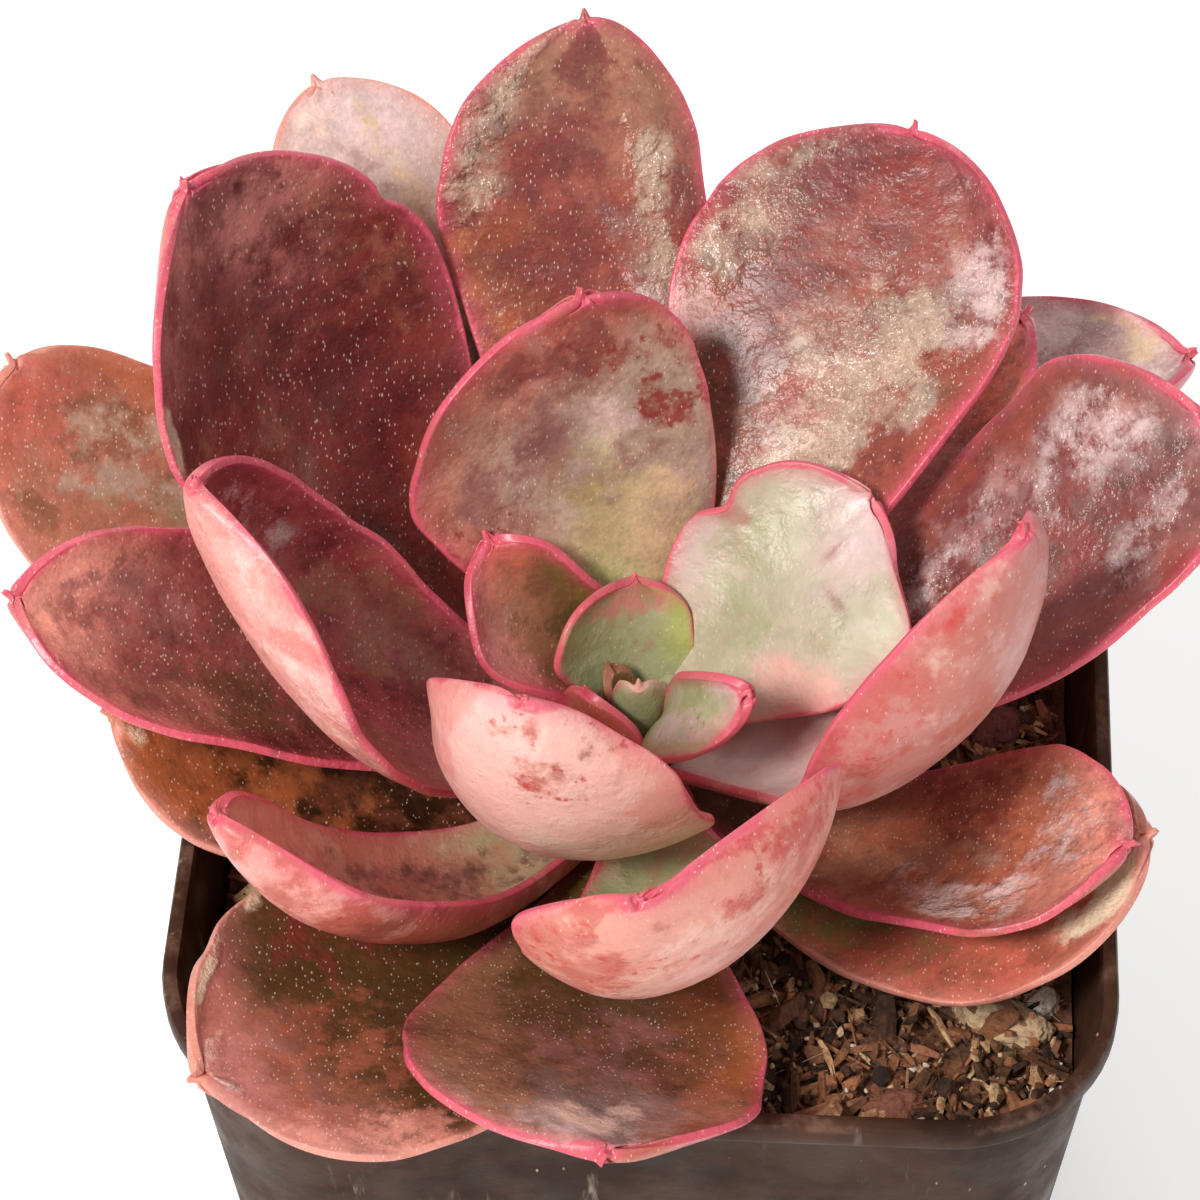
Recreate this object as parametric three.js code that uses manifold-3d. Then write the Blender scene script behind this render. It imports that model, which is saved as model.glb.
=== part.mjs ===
// Painted echeveria with waved leaves in a square nursery pot.
// Millimetres, +Z up, origin at the centre of the pot's underside, pot walls along X and Y.
import * as THREE from "three";
import { mergeVertices } from "three/addons/utils/BufferGeometryUtils.js";
import Module from "manifold-3d";

const wasm = await Module();
wasm.setup();

// Clearance kept between pieces that touch.
const GAP = 0.3;
// Vertices that a cut leaves closer than this to the surface round them are merged.
const CUT_MERGE = 0.05;

// Pot: a thin square cup that narrows downwards, with a rolled lip.
const POT_HEIGHT = 80;
const RIM_HALF = 44.5;
const FOOT_HALF = 36.5;
const POT_WALL = 1.2;
const POT_FLOOR = 1.6;
const LIP_HEIGHT = 3.2;
const LIP_STEP = 0.9;
const LIP_WIDTH = 1.6;
const RIM_CORNER = 16;
const DRAIN_RADIUS = 4;
const DRAIN_OFFSET = 20;

// Soil: fills the pot to a little under the lip, lower around the stem and in the corners.
const SOIL_LEVEL = 70.2;
const SOIL_DIP = 4.5;
const SOIL_DIP_RADIUS = 20;
const SOIL_EDGE_DROP = 1.6;
const SOIL_LUMP = 0.55;
const BARK_CHIPS = 7;

// Stem: stands a little off the pot's centre.
const STEM_X = -1.3;
const STEM_Y = -2;
const STEM_RADIUS = 3.7;
const STEM_FOOT = 52;
const STEM_SHOULDER = 82.6;
const STEM_TOP = 84.2;
const CROWN_RADIUS = 1.3;

// Leaves: distance of each leaf's foot from the stem's axis, blade thickness and edge thickness.
const LEAF_ROOT = 4;
const BLADE = 2.6;
const BLADE_EDGE = 0.9;
const BUD_BLADE = 1.7;
const SPINE = 1.4;
const SPINE_HALF = 0.5;

// Waved edge: its rise where a leaf names none, waves along a blade in radians, and the shift
// between its two edges.
const WAVE_RISE = 0.15;
const WAVE_TURNS = 13;
const WAVE_SHIFT = 2.1;

// What a leaf without a corner is taken to have.
const NO_CORNER = { at: 0, side: 0, out: 0, span: 1 };

const degrees = THREE.MathUtils.degToRad;
const clamp = THREE.MathUtils.clamp;

const finishes = {
  pot_plastic: { color: "#2a2226", roughness: 0.55 },
  soil: { color: "#4a2f22", roughness: 0.95 },
  stone: { color: "#8a6a58", roughness: 0.9 },
  stem: { color: "#7d8a5c", roughness: 0.7 },
  leaf_green: { color: "#8f9c72", roughness: 0.45 },
  leaf_grey: { color: "#a08a86", roughness: 0.4 },
  leaf_salmon: { color: "#d58078", roughness: 0.45 },
  leaf_burgundy: { color: "#6e2a32", roughness: 0.38 },
  leaf_olive: { color: "#6b4a38", roughness: 0.42 },
};

// Each leaf from the heart outwards. dir is the heading of its foot round the stem and turn how far
// the heading swings along the blade; lift is the pitch at the foot and at the tip; roll tips the
// blade sideways; fold is how far the left and right halves curl up; full is where along the length
// the blade is widest, neck its foot's share of that width; lean shifts width to the left half,
// blunt fills out the end; base is the height of the foot and wave the rise of the waved edge;
// corner is how far one edge stands out round a place along the length.
const leaves = {
  bud_front: { dir: 272, turn: 0, lift: [93, 93], roll: 0, fold: [95, 95], length: 9, width: 7.5,
    full: 0.55, neck: 0.5, lean: 0, blunt: 2.3, base: 83.2, root: 2.6, finish: "leaf_green" },
  bud_right: { dir: 20, turn: 0, lift: [82, 76], roll: 0, fold: [60, 60], length: 6, width: 5,
    full: 0.5, neck: 0.5, lean: 0, blunt: 2, base: 83.2, root: 2.7, finish: "leaf_green" },
  bud_left: { dir: 150, turn: 0, lift: [86, 80], roll: 0, fold: [60, 60], length: 7, width: 5,
    full: 0.5, neck: 0.5, lean: 0, blunt: 2, base: 83.2, root: 2.5, finish: "leaf_green" },
  heart_left: { dir: 212, turn: -1, lift: [74, 84], roll: 18, fold: [24, -3], length: 9, width: 10,
    full: 0.5, neck: 0.35, lean: 0.3, blunt: 2, base: 83.4, finish: "leaf_salmon" },
  heart_back: { dir: 100, turn: -14, lift: [78, 52], roll: 33, fold: [46, 23], length: 12.5, width: 16,
    full: 0.53, neck: 0.4, lean: 0.23, blunt: 2.5, base: 83.4, finish: "leaf_green" },
  heart_right: { dir: 300, turn: 35, lift: [81, 37], roll: 42, fold: [92, 0], length: 22, width: 9.5,
    full: 0.54, neck: 0.34, lean: -0.19, blunt: 1.8, base: 83.4, finish: "leaf_green" },
  inner_left: { dir: 148, turn: 0, lift: [49, 55], roll: -41, fold: [59, 49], length: 21, width: 15.5,
    full: 0.53, neck: 0.25, lean: 0.12, blunt: 2, base: 83.3, wave: 0.4, finish: "leaf_olive" },
  inner_right: { dir: 37, turn: -10, lift: [49, 35], roll: 19, fold: [41, 3], length: 29, width: 25,
    full: 0.56, neck: 0.38, lean: -0.13, blunt: 2.3, base: 82.8, wave: 0.5, finish: "leaf_green" },
  inner_front: { dir: 253, turn: -15, lift: [5, 111], roll: 19, fold: [35, 69], length: 46.5, width: 29,
    full: 0.58, neck: 0.34, lean: 0.08, blunt: 3, base: 82.2, wave: 0.4, finish: "leaf_salmon" },
  inner_back: { dir: 104, turn: 9, lift: [44, 88], roll: 0, fold: [22, -7], length: 44, width: 31,
    full: 0.61, neck: 0.27, lean: 0.24, blunt: 2.4, base: 81.6, wave: 0.5, finish: "leaf_grey" },
  middle_right: { dir: -17, turn: -4, lift: [8, 102], roll: -4, fold: [35, 60], length: 62, width: 33,
    full: 0.58, neck: 0.29, lean: -0.38, blunt: 2.5, base: 81, wave: 0.5, finish: "leaf_salmon" },
  middle_left: { dir: 184, turn: 18, lift: [9, 92], roll: 10, fold: [32, 115], length: 60.5, width: 35.5,
    full: 0.59, neck: 0.33, lean: 0.13, blunt: 2.6, base: 80.4, wave: 0.5, finish: "leaf_burgundy" },
  back_right: { dir: 56, turn: 15, lift: [42, 31], roll: 5, fold: [7, 31], length: 62.5, width: 34.5,
    full: 0.74, neck: 0.19, lean: 0.03, blunt: 1.9, base: 79.9, wave: 0.6, finish: "leaf_burgundy" },
  front_curled: { dir: 281, turn: -25, lift: [-4, 89], roll: 26, fold: [73, 49], length: 63.5, width: 37.5,
    full: 0.78, neck: 0.24, lean: 0.43, blunt: 2.6, base: 79.3, wave: 0.5, finish: "leaf_salmon" },
  back_left: { dir: 146, turn: 14, lift: [16, 82], roll: -3, fold: [26, 41], length: 72, width: 36.5,
    full: 0.72, neck: 0.4, lean: 0, blunt: 2.8, base: 78.7, wave: 0.6, finish: "leaf_burgundy",
    corner: { at: 0.68, side: -1, out: 4, span: 11 } },
  right: { dir: 8, turn: 16, lift: [24, 49], roll: 18, fold: [-8, 35], length: 62, width: 30,
    full: 0.76, neck: 0.26, lean: 0.1, blunt: 2.3, base: 78.1, wave: 0.7, finish: "leaf_grey" },
  front_left_folded: { dir: 233, turn: -33, lift: [-10, 79], roll: -5, fold: [97, 45], length: 58, width: 22,
    full: 0.64, neck: 0.42, lean: 0.27, blunt: 2.5, base: 77.5, wave: 0.5, finish: "leaf_salmon" },
  back: { dir: 91, turn: 16, lift: [34, 54], roll: 4, fold: [-1, 5], length: 70, width: 26.5,
    full: 0.76, neck: 0.31, lean: 0.29, blunt: 2.2, base: 77, wave: 0.6, finish: "leaf_burgundy" },
  front_right: { dir: 331, turn: 13, lift: [-1, 42], roll: 7, fold: [7, 37], length: 49.5, width: 24,
    full: 0.72, neck: 0.24, lean: 0.08, blunt: 2.1, base: 76.4, wave: 0.5, finish: "leaf_burgundy" },
  left: { dir: 182, turn: 8, lift: [22, 38], roll: -24, fold: [53, 35], length: 61.5, width: 24.5,
    full: 0.69, neck: 0.23, lean: 0, blunt: 1.8, base: 75.8, wave: 0.5, finish: "leaf_burgundy" },
  far_right_inner: { dir: 49, turn: -7, lift: [28, 34], roll: -11, fold: [-8, 22], length: 55.5, width: 27.5,
    full: 0.59, neck: 0.21, lean: 0.05, blunt: 1.8, base: 75.2, wave: 0.6, finish: "leaf_burgundy" },
  front: { dir: 266, turn: 8, lift: [-3, 39], roll: -12, fold: [17, 6], length: 52.5, width: 33.5,
    full: 0.67, neck: 0.19, lean: -0.14, blunt: 2.4, base: 74.6, wave: 0.8, finish: "leaf_olive" },
  far_back_left: { dir: 122, turn: 5, lift: [34, 45], roll: -5, fold: [5, 24], length: 72, width: 22.5,
    full: 0.69, neck: 0.19, lean: -0.07, blunt: 3, base: 74.1, wave: 0.6, finish: "leaf_grey" },
  low_front_right: { dir: 327, turn: 33, lift: [-2, 41], roll: 10, fold: [-14, 12], length: 51, width: 26.5,
    full: 0.63, neck: 0.19, lean: -0.07, blunt: 2.5, base: 73.5, wave: 0.7, finish: "leaf_olive" },
  low_left: { dir: 187, turn: 8, lift: [14, 37], roll: -12, fold: [7, 6], length: 50.5, width: 28,
    full: 0.6, neck: 0.34, lean: 0.06, blunt: 2.5, base: 72.9, wave: 0.6, finish: "leaf_olive" },
  low_back: { dir: 92, turn: 0, lift: [12, 30], roll: 0, fold: [10, 10], length: 52, width: 24,
    full: 0.65, neck: 0.22, lean: 0, blunt: 2.4, base: 72.3, wave: 0.7, finish: "leaf_olive" },
  low_back_left: { dir: 122, turn: 0, lift: [8, 25], roll: 0, fold: [8, 8], length: 46, width: 22,
    full: 0.65, neck: 0.22, lean: 0, blunt: 2.4, base: 71.7, wave: 0.7, finish: "leaf_olive" },
  far_left: { dir: 171, turn: -29, lift: [17, 39], roll: -5, fold: [6, -5], length: 72, width: 26.5,
    full: 0.67, neck: 0.24, lean: -0.02, blunt: 2.6, base: 71.2, wave: 0.7, finish: "leaf_olive" },
  far_right: { dir: 45, turn: -14, lift: [28, 12], roll: -6, fold: [22, 72], length: 68, width: 33.5,
    full: 0.56, neck: 0.2, lean: 0.27, blunt: 2.3, base: 70.6, wave: 0.6, finish: "leaf_grey" },
  low_front_left: { dir: 244, turn: -32, lift: [13, 19], roll: 4, fold: [18, 33], length: 56, width: 36.5,
    full: 0.63, neck: 0.27, lean: 0.08, blunt: 2.4, base: 70, wave: 0.8, finish: "leaf_olive" },
};

// Stones and a dry clod that lie half sunk in the soil.
const stones = {
  dry_clod: { at: [5.9, 10.5], size: [4.6, 3.4, 2.4], turn: 20 },
  lava_stone: { at: [33.5, 9.5], size: [3.4, 2.8, 2.4], turn: 50 },
  red_stone: { at: [24, -35.5], size: [3.6, 2.2, 2], turn: 15 },
  pale_stone: { at: [38, -22.5], size: [2.4, 1.8, 1.7], turn: 70 },
};

// Closed solid from a geometry that holds positions and, where it has one, an index.
function solid(geometry) {
  const bare = geometry.clone();
  bare.deleteAttribute("normal");
  bare.deleteAttribute("uv");
  const merged = mergeVertices(bare, 1e-4);
  return new wasm.Manifold(
    new wasm.Mesh({
      numProp: 3,
      vertProperties: new Float32Array(merged.attributes.position.array),
      triVerts: new Uint32Array(merged.index.array),
    }),
  );
}

// The largest body of a solid with its needless vertices merged, so that slivers left by a cut go.
function largestBody(whole) {
  const bodies = whole.decompose();
  return bodies.reduce((best, body) => (body.volume() > best.volume() ? body : best)).simplify(CUT_MERGE);
}

function geometryOf(body) {
  const mesh = body.getMesh();
  const geometry = new THREE.BufferGeometry();
  geometry.setAttribute("position", new THREE.BufferAttribute(new Float32Array(mesh.vertProperties), 3));
  geometry.setIndex(new THREE.BufferAttribute(new Uint32Array(mesh.triVerts), 1));
  geometry.computeVertexNormals();
  return geometry;
}

function meshOf(name, body, finish) {
  const { color, roughness } = finishes[finish];
  const material = new THREE.MeshStandardMaterial({ color, roughness, metalness: 0 });
  const mesh = new THREE.Mesh(geometryOf(body), material);
  mesh.name = name;
  return mesh;
}

// Closed body between rings of points: each ring joins the next, and both ends are capped.
function loft(rings) {
  const count = rings[0].length;
  const positions = rings.flat().flatMap((point) => point.toArray());
  const index = [];
  for (let ring = 0; ring < rings.length - 1; ring += 1) {
    for (let i = 0; i < count; i += 1) {
      const a = ring * count + i;
      const b = ring * count + ((i + 1) % count);
      index.push(a, b, b + count, a, b + count, a + count);
    }
  }
  const cap = (ring, flip) => {
    const centre = positions.length / 3;
    const middle = new THREE.Vector3();
    ring.forEach((point) => middle.addScaledVector(point, 1 / count));
    positions.push(...middle.toArray());
    const first = flip ? 0 : (rings.length - 1) * count;
    for (let i = 0; i < count; i += 1) {
      const a = first + i;
      const b = first + ((i + 1) % count);
      index.push(...(flip ? [b, a, centre] : [a, b, centre]));
    }
  };
  cap(rings[0], true);
  cap(rings[rings.length - 1], false);
  const geometry = new THREE.BufferGeometry();
  geometry.setAttribute("position", new THREE.Float32BufferAttribute(positions, 3));
  geometry.setIndex(index);
  return geometry;
}

// Square with rounded corners, as points that run anticlockwise seen from above.
function roundedSquare(half, corner, z, cornerSteps, sideSteps) {
  const points = [];
  for (let quarter = 0; quarter < 4; quarter += 1) {
    const turn = (quarter * Math.PI) / 2;
    const spin = (x, y) =>
      new THREE.Vector3(x * Math.cos(turn) - y * Math.sin(turn), x * Math.sin(turn) + y * Math.cos(turn), z);
    const straight = half - corner;
    for (let i = 0; i < sideSteps; i += 1) {
      points.push(spin(half, -straight + (2 * straight * i) / sideSteps));
    }
    for (let i = 0; i < cornerSteps; i += 1) {
      const angle = (Math.PI / 2) * (i / cornerSteps);
      points.push(spin(straight + corner * Math.cos(angle), straight + corner * Math.sin(angle)));
    }
  }
  return points;
}

// Half width of the pot's outer wall at a height, without the lip.
function wallHalf(z) {
  const top = RIM_HALF - LIP_STEP;
  return FOOT_HALF + ((top - FOOT_HALF) * z) / POT_HEIGHT;
}

function makePot() {
  const cornerSteps = 5;
  const lipFoot = POT_HEIGHT - LIP_HEIGHT;
  const rounding = 0.6;
  const ring = (half, z) =>
    roundedSquare(half, RIM_CORNER - (RIM_HALF - half), z, cornerSteps, 1);
  const innerRim = RIM_HALF - LIP_WIDTH;
  const rings = [
    ring(FOOT_HALF - 1, 0),
    ring(wallHalf(1), 1),
    ring(wallHalf(lipFoot - rounding), lipFoot - rounding),
    ring(RIM_HALF - 0.2, lipFoot),
    ring(RIM_HALF, lipFoot + rounding),
    ring(RIM_HALF, POT_HEIGHT - rounding),
    ring(RIM_HALF - rounding / 2, POT_HEIGHT),
    ring(innerRim + rounding / 2, POT_HEIGHT),
    ring(innerRim, POT_HEIGHT - rounding),
    ring(wallHalf(lipFoot) - POT_WALL, lipFoot - 1),
    ring(wallHalf(POT_FLOOR + 1) - POT_WALL, POT_FLOOR + 1),
    ring(wallHalf(POT_FLOOR) - POT_WALL - 1, POT_FLOOR),
  ];
  let cup = solid(loft(rings));
  for (const x of [-DRAIN_OFFSET, DRAIN_OFFSET]) {
    for (const y of [-DRAIN_OFFSET, DRAIN_OFFSET]) {
      const hole = new THREE.CylinderGeometry(DRAIN_RADIUS, DRAIN_RADIUS, 3 * POT_FLOOR, 16);
      hole.rotateX(Math.PI / 2);
      hole.translate(x, y, POT_FLOOR / 2);
      cup = cup.subtract(solid(hole));
    }
  }
  return cup;
}

// Height of the soil's surface: loose lumps, a dip round the stem and a drop at the walls.
function soilHeight(x, y) {
  const fromStem = Math.hypot(x - STEM_X, y - STEM_Y);
  const dip = SOIL_DIP * Math.max(0, 1 - (fromStem / SOIL_DIP_RADIUS) ** 2);
  const edge = clamp(Math.hypot(x, y) / RIM_HALF, 0, 1) ** 4 * SOIL_EDGE_DROP;
  const lumps = Math.sin(x * 0.55 + 1) * Math.cos(y * 0.47) + 0.7 * Math.sin(x * 0.21 - y * 0.9 + 2);
  return SOIL_LEVEL - dip - edge + SOIL_LUMP * lumps;
}

function makeSoil(hollows) {
  const steps = [4, 4];
  const inset = POT_WALL + GAP;
  const top = SOIL_LEVEL - SOIL_EDGE_DROP;
  const floor = POT_FLOOR + GAP;
  const outline = (half, z) => roundedSquare(half, RIM_CORNER - (RIM_HALF - half), z, ...steps);
  const rings = [
    outline(wallHalf(floor) - inset - 1, floor),
    outline(wallHalf(floor + 1) - inset, floor + 1),
    outline(wallHalf(top - 4) - inset, top - 4),
  ];
  for (const share of [1, 0.93, 0.8, 0.66, 0.52, 0.39, 0.27, 0.15]) {
    const level = outline(wallHalf(top) - inset, 0);
    rings.push(
      level.map((point) => {
        const x = THREE.MathUtils.lerp(STEM_X, point.x, share);
        const y = THREE.MathUtils.lerp(STEM_Y, point.y, share);
        return new THREE.Vector3(x, y, soilHeight(x, y));
      }),
    );
  }
  let fill = solid(loft(rings));
  for (let i = 0; i < BARK_CHIPS; i += 1) {
    const angle = i * 2.4;
    const reach = 22 + ((i * 7) % 15);
    const chip = new THREE.BoxGeometry(5 + (i % 4) * 1.5, 1.8 + (i % 3) * 0.5, 1.6);
    chip.rotateZ(i * 1.7);
    const x = reach * Math.cos(angle);
    const y = reach * Math.sin(angle);
    chip.translate(x, y, soilHeight(x, y) + 0.2);
    fill = fill.add(solid(chip));
  }
  return hollows.reduce((rest, hollow) => rest.subtract(hollow), fill);
}

// Stem with a narrow crown that carries the buds, as a turned profile closed on its axis.
function makeStem(swell) {
  const r = STEM_RADIUS + swell;
  const crown = CROWN_RADIUS + swell;
  const profile = [
    [0, STEM_FOOT - swell],
    [r * 0.55, STEM_FOOT - swell],
    [r * 0.9, STEM_FOOT + 5],
    [r, STEM_FOOT + 12],
    [r, STEM_SHOULDER - 1],
    [r * 0.8, STEM_SHOULDER + swell],
    [crown, STEM_SHOULDER + swell + 0.4],
    [crown * 0.8, STEM_TOP + swell],
    [0, STEM_TOP + swell],
  ];
  const stem = new THREE.LatheGeometry(profile.map(([x, y]) => new THREE.Vector2(x, y)), 16);
  stem.rotateX(Math.PI / 2);
  stem.translate(STEM_X, STEM_Y, 0);
  return solid(stem);
}

function makeStone({ at, size, turn }, swell) {
  const stone = new THREE.IcosahedronGeometry(1, 1);
  const position = stone.attributes.position;
  for (let i = 0; i < position.count; i += 1) {
    const p = new THREE.Vector3().fromBufferAttribute(position, i);
    const bump = 1 + 0.12 * Math.sin(3 * p.x + 2 * p.y) * Math.cos(4 * p.z + p.x);
    position.setXYZ(i, p.x * bump, p.y * bump, p.z * bump);
  }
  stone.scale(...size.map((half) => half + swell));
  stone.rotateZ(degrees(turn));
  stone.translate(at[0], at[1], soilHeight(at[0], at[1]) + size[2] * 0.35);
  return solid(stone);
}

// Share of the leaf's half width at s, from 0 at the foot to 1 at the tip.
function widthShare(leaf, s) {
  if (s <= leaf.full) {
    return leaf.neck + (1 - leaf.neck) * Math.sin((Math.PI / 2) * (s / leaf.full)) ** 1.7;
  }
  return Math.sqrt(Math.max(0, 1 - ((s - leaf.full) / (1 - leaf.full)) ** leaf.blunt));
}

// Point on the midrib and the three directions of the blade there: along, left and up.
function midrib(leaf, s) {
  const steps = 24;
  const root = leaf.root ?? LEAF_ROOT;
  const foot = degrees(leaf.dir);
  const point = new THREE.Vector3(STEM_X + root * Math.cos(foot), STEM_Y + root * Math.sin(foot), leaf.base);
  const along = (share) => {
    const pitch = degrees(THREE.MathUtils.lerp(leaf.lift[0], leaf.lift[1], share));
    const heading = degrees(leaf.dir + leaf.turn * share);
    return new THREE.Vector3(
      Math.cos(pitch) * Math.cos(heading), Math.cos(pitch) * Math.sin(heading), Math.sin(pitch));
  };
  for (let i = 0; i < steps; i += 1) {
    point.addScaledVector(along(((i + 0.5) / steps) * s), (leaf.length * s) / steps);
  }
  const heading = degrees(leaf.dir + leaf.turn * s);
  const forward = along(s);
  const left = new THREE.Vector3(-Math.sin(heading), Math.cos(heading), 0);
  left.applyAxisAngle(forward, degrees(leaf.roll * s));
  return { point, forward, left, up: new THREE.Vector3().crossVectors(forward, left) };
}

// Share by which a leaf's corner widens the blade at s and t, for a half width there.
function cornerShare(leaf, s, t, half) {
  const { at, side, out, span } = leaf.corner ?? NO_CORNER;
  const near = Math.sign(t) === side ? Math.exp(-((((s - at) * leaf.length) / span) ** 2)) : 0;
  return 1 + (out / half) * near * Math.abs(t) ** 3;
}

// Rise of the waved edge at s, on the side and share across given by t from -1 to 1.
function waveRise(leaf, s, t) {
  const grow = clamp(s / leaf.full, 0, 1) ** 2;
  const phase = leaf.dir + (t > 0 ? 0 : WAVE_SHIFT);
  return (leaf.wave ?? WAVE_RISE) * Math.abs(t) ** 3 * grow * Math.sin(s * WAVE_TURNS + phase);
}

// Closed blade: an upper and a lower face on the same grid, joined along the edge, foot and spine.
function makeLeaf(leaf, swell) {
  const small = leaf.length < 15;
  const neckRows = small ? 3 : 4;
  const endRows = small ? 4 : 6;
  const spans = leaf.length < 30 ? 6 : 8;
  const stations = [];
  for (let i = 0; i < neckRows; i += 1) stations.push((leaf.full * i) / neckRows);
  for (let i = 0; i <= endRows; i += 1) {
    stations.push(leaf.full + (1 - leaf.full) * Math.sin(((Math.PI / 2) * i) / endRows));
  }
  const blade = small ? BUD_BLADE : BLADE;
  const upper = [];
  const lower = [];
  stations.forEach((s, row) => {
    const { point, forward, left, up } = midrib(leaf, s);
    if (row === 0) point.addScaledVector(forward, -swell);
    const grow = clamp(s / leaf.full, 0, 1);
    const half = Math.max((leaf.width / 2) * widthShare(leaf, s), SPINE_HALF) + swell;
    const middle = blade * (1 - 0.3 * s * s);
    for (let i = 0; i <= spans; i += 1) {
      const t = Math.sin((Math.PI / 2) * ((2 * i) / spans - 1));
      const side = Math.sign(t);
      const fold = degrees((t > 0 ? leaf.fold[0] : leaf.fold[1]) || 0.1);
      const bend = fold * Math.abs(t);
      const reach = half * cornerShare(leaf, s, t, half) * (1 + side * leaf.lean * grow);
      const centre = point.clone()
        .addScaledVector(left, (reach * side * Math.sin(bend)) / fold)
        .addScaledVector(up, (reach * (1 - Math.cos(bend))) / fold);
      const normal = up.clone().multiplyScalar(Math.cos(bend))
        .addScaledVector(left, -side * Math.sin(bend));
      centre.addScaledVector(normal, waveRise(leaf, s, t));
      const thickness = BLADE_EDGE + (middle - BLADE_EDGE) * (1 - t * t);
      upper.push(centre.clone().addScaledVector(normal, thickness / 2 + swell));
      lower.push(centre.clone().addScaledVector(normal, -thickness / 2 - swell));
    }
  });
  const tip = midrib(leaf, 1);
  const spine = tip.point.addScaledVector(tip.forward, SPINE + swell);
  return solid(closedBlade(upper, lower, spine, spans + 1));
}

function closedBlade(upper, lower, spine, columns) {
  const rows = upper.length / columns;
  const count = upper.length;
  const index = [];
  const at = (row, column) => row * columns + column;
  const quad = (a, b, c, d) => index.push(a, b, c, a, c, d);
  for (let row = 0; row < rows - 1; row += 1) {
    for (let column = 0; column < columns - 1; column += 1) {
      const [a, b] = [at(row, column), at(row + 1, column)];
      const [c, d] = [at(row + 1, column + 1), at(row, column + 1)];
      quad(a, b, c, d);
      index.push(count + a, count + c, count + b, count + a, count + d, count + c);
    }
    quad(at(row, 0), count + at(row, 0), count + at(row + 1, 0), at(row + 1, 0));
    const edge = columns - 1;
    quad(at(row, edge), at(row + 1, edge), count + at(row + 1, edge), count + at(row, edge));
  }
  const last = rows - 1;
  const point = 2 * count;
  for (let column = 0; column < columns - 1; column += 1) {
    quad(at(0, column), at(0, column + 1), count + at(0, column + 1), count + at(0, column));
    index.push(at(last, column), point, at(last, column + 1));
    index.push(count + at(last, column), count + at(last, column + 1), point);
  }
  index.push(at(last, 0), count + at(last, 0), point);
  index.push(at(last, columns - 1), point, count + at(last, columns - 1));
  const geometry = new THREE.BufferGeometry();
  const all = [...upper, ...lower, spine].flatMap((vertex) => vertex.toArray());
  geometry.setAttribute("position", new THREE.Float32BufferAttribute(all, 3));
  geometry.setIndex(index);
  return geometry;
}

const plant = new THREE.Group();
plant.add(meshOf("pot", makePot(), "pot_plastic"));
plant.add(meshOf("stem", makeStem(0), "stem"));

// Every leaf is cut clear of the stem and of the leaves inside it, where their feet crowd together.
const taken = [makeStem(GAP - 0.05)];
for (const [name, leaf] of Object.entries(leaves)) {
  const body = taken.reduce((rest, other) => rest.subtract(other), makeLeaf(leaf, 0));
  plant.add(meshOf(`leaf_${name}`, largestBody(body), leaf.finish));
  taken.push(makeLeaf(leaf, GAP));
}

const hollows = [...taken, ...Object.values(stones).map((stone) => makeStone(stone, GAP))];
plant.add(meshOf("soil", largestBody(makeSoil(hollows)), "soil"));
for (const [name, stone] of Object.entries(stones)) {
  plant.add(meshOf(name, makeStone(stone, 0), "stone"));
}

export default plant;
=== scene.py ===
"""Potted echeveria: a rosette of broad waved leaves with pink edges in a square nursery pot."""

import logging
import math
from dataclasses import dataclass, field
from enum import Enum
from typing import Callable, Sequence

import bmesh
import bpy
import numpy as np
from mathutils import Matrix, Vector, noise

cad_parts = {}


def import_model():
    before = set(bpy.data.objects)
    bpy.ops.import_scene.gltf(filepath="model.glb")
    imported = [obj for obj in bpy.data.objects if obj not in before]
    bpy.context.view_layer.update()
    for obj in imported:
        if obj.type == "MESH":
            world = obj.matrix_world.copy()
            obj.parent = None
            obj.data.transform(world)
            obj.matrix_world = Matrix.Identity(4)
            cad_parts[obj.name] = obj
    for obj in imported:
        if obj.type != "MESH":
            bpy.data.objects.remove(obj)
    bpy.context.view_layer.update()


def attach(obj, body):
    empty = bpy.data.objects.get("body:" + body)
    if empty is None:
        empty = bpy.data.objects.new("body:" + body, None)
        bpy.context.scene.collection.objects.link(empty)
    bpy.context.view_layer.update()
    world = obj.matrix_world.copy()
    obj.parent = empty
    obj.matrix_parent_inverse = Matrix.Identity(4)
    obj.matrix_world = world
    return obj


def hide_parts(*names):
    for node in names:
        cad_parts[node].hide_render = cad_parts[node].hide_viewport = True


log = logging.getLogger("echeveria")

Array = np.ndarray
Inputs = dict[str | int, object]
Material = bpy.types.Material
Mesh = bpy.types.Mesh
Node = bpy.types.Node
Piece = bpy.types.Object
Socket = bpy.types.NodeSocket

MM = 0.001
ROOT_BODY = "root"
STEM_AT = (-1.3, -2.0)
GOLDEN_STEP = 1.618


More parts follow.
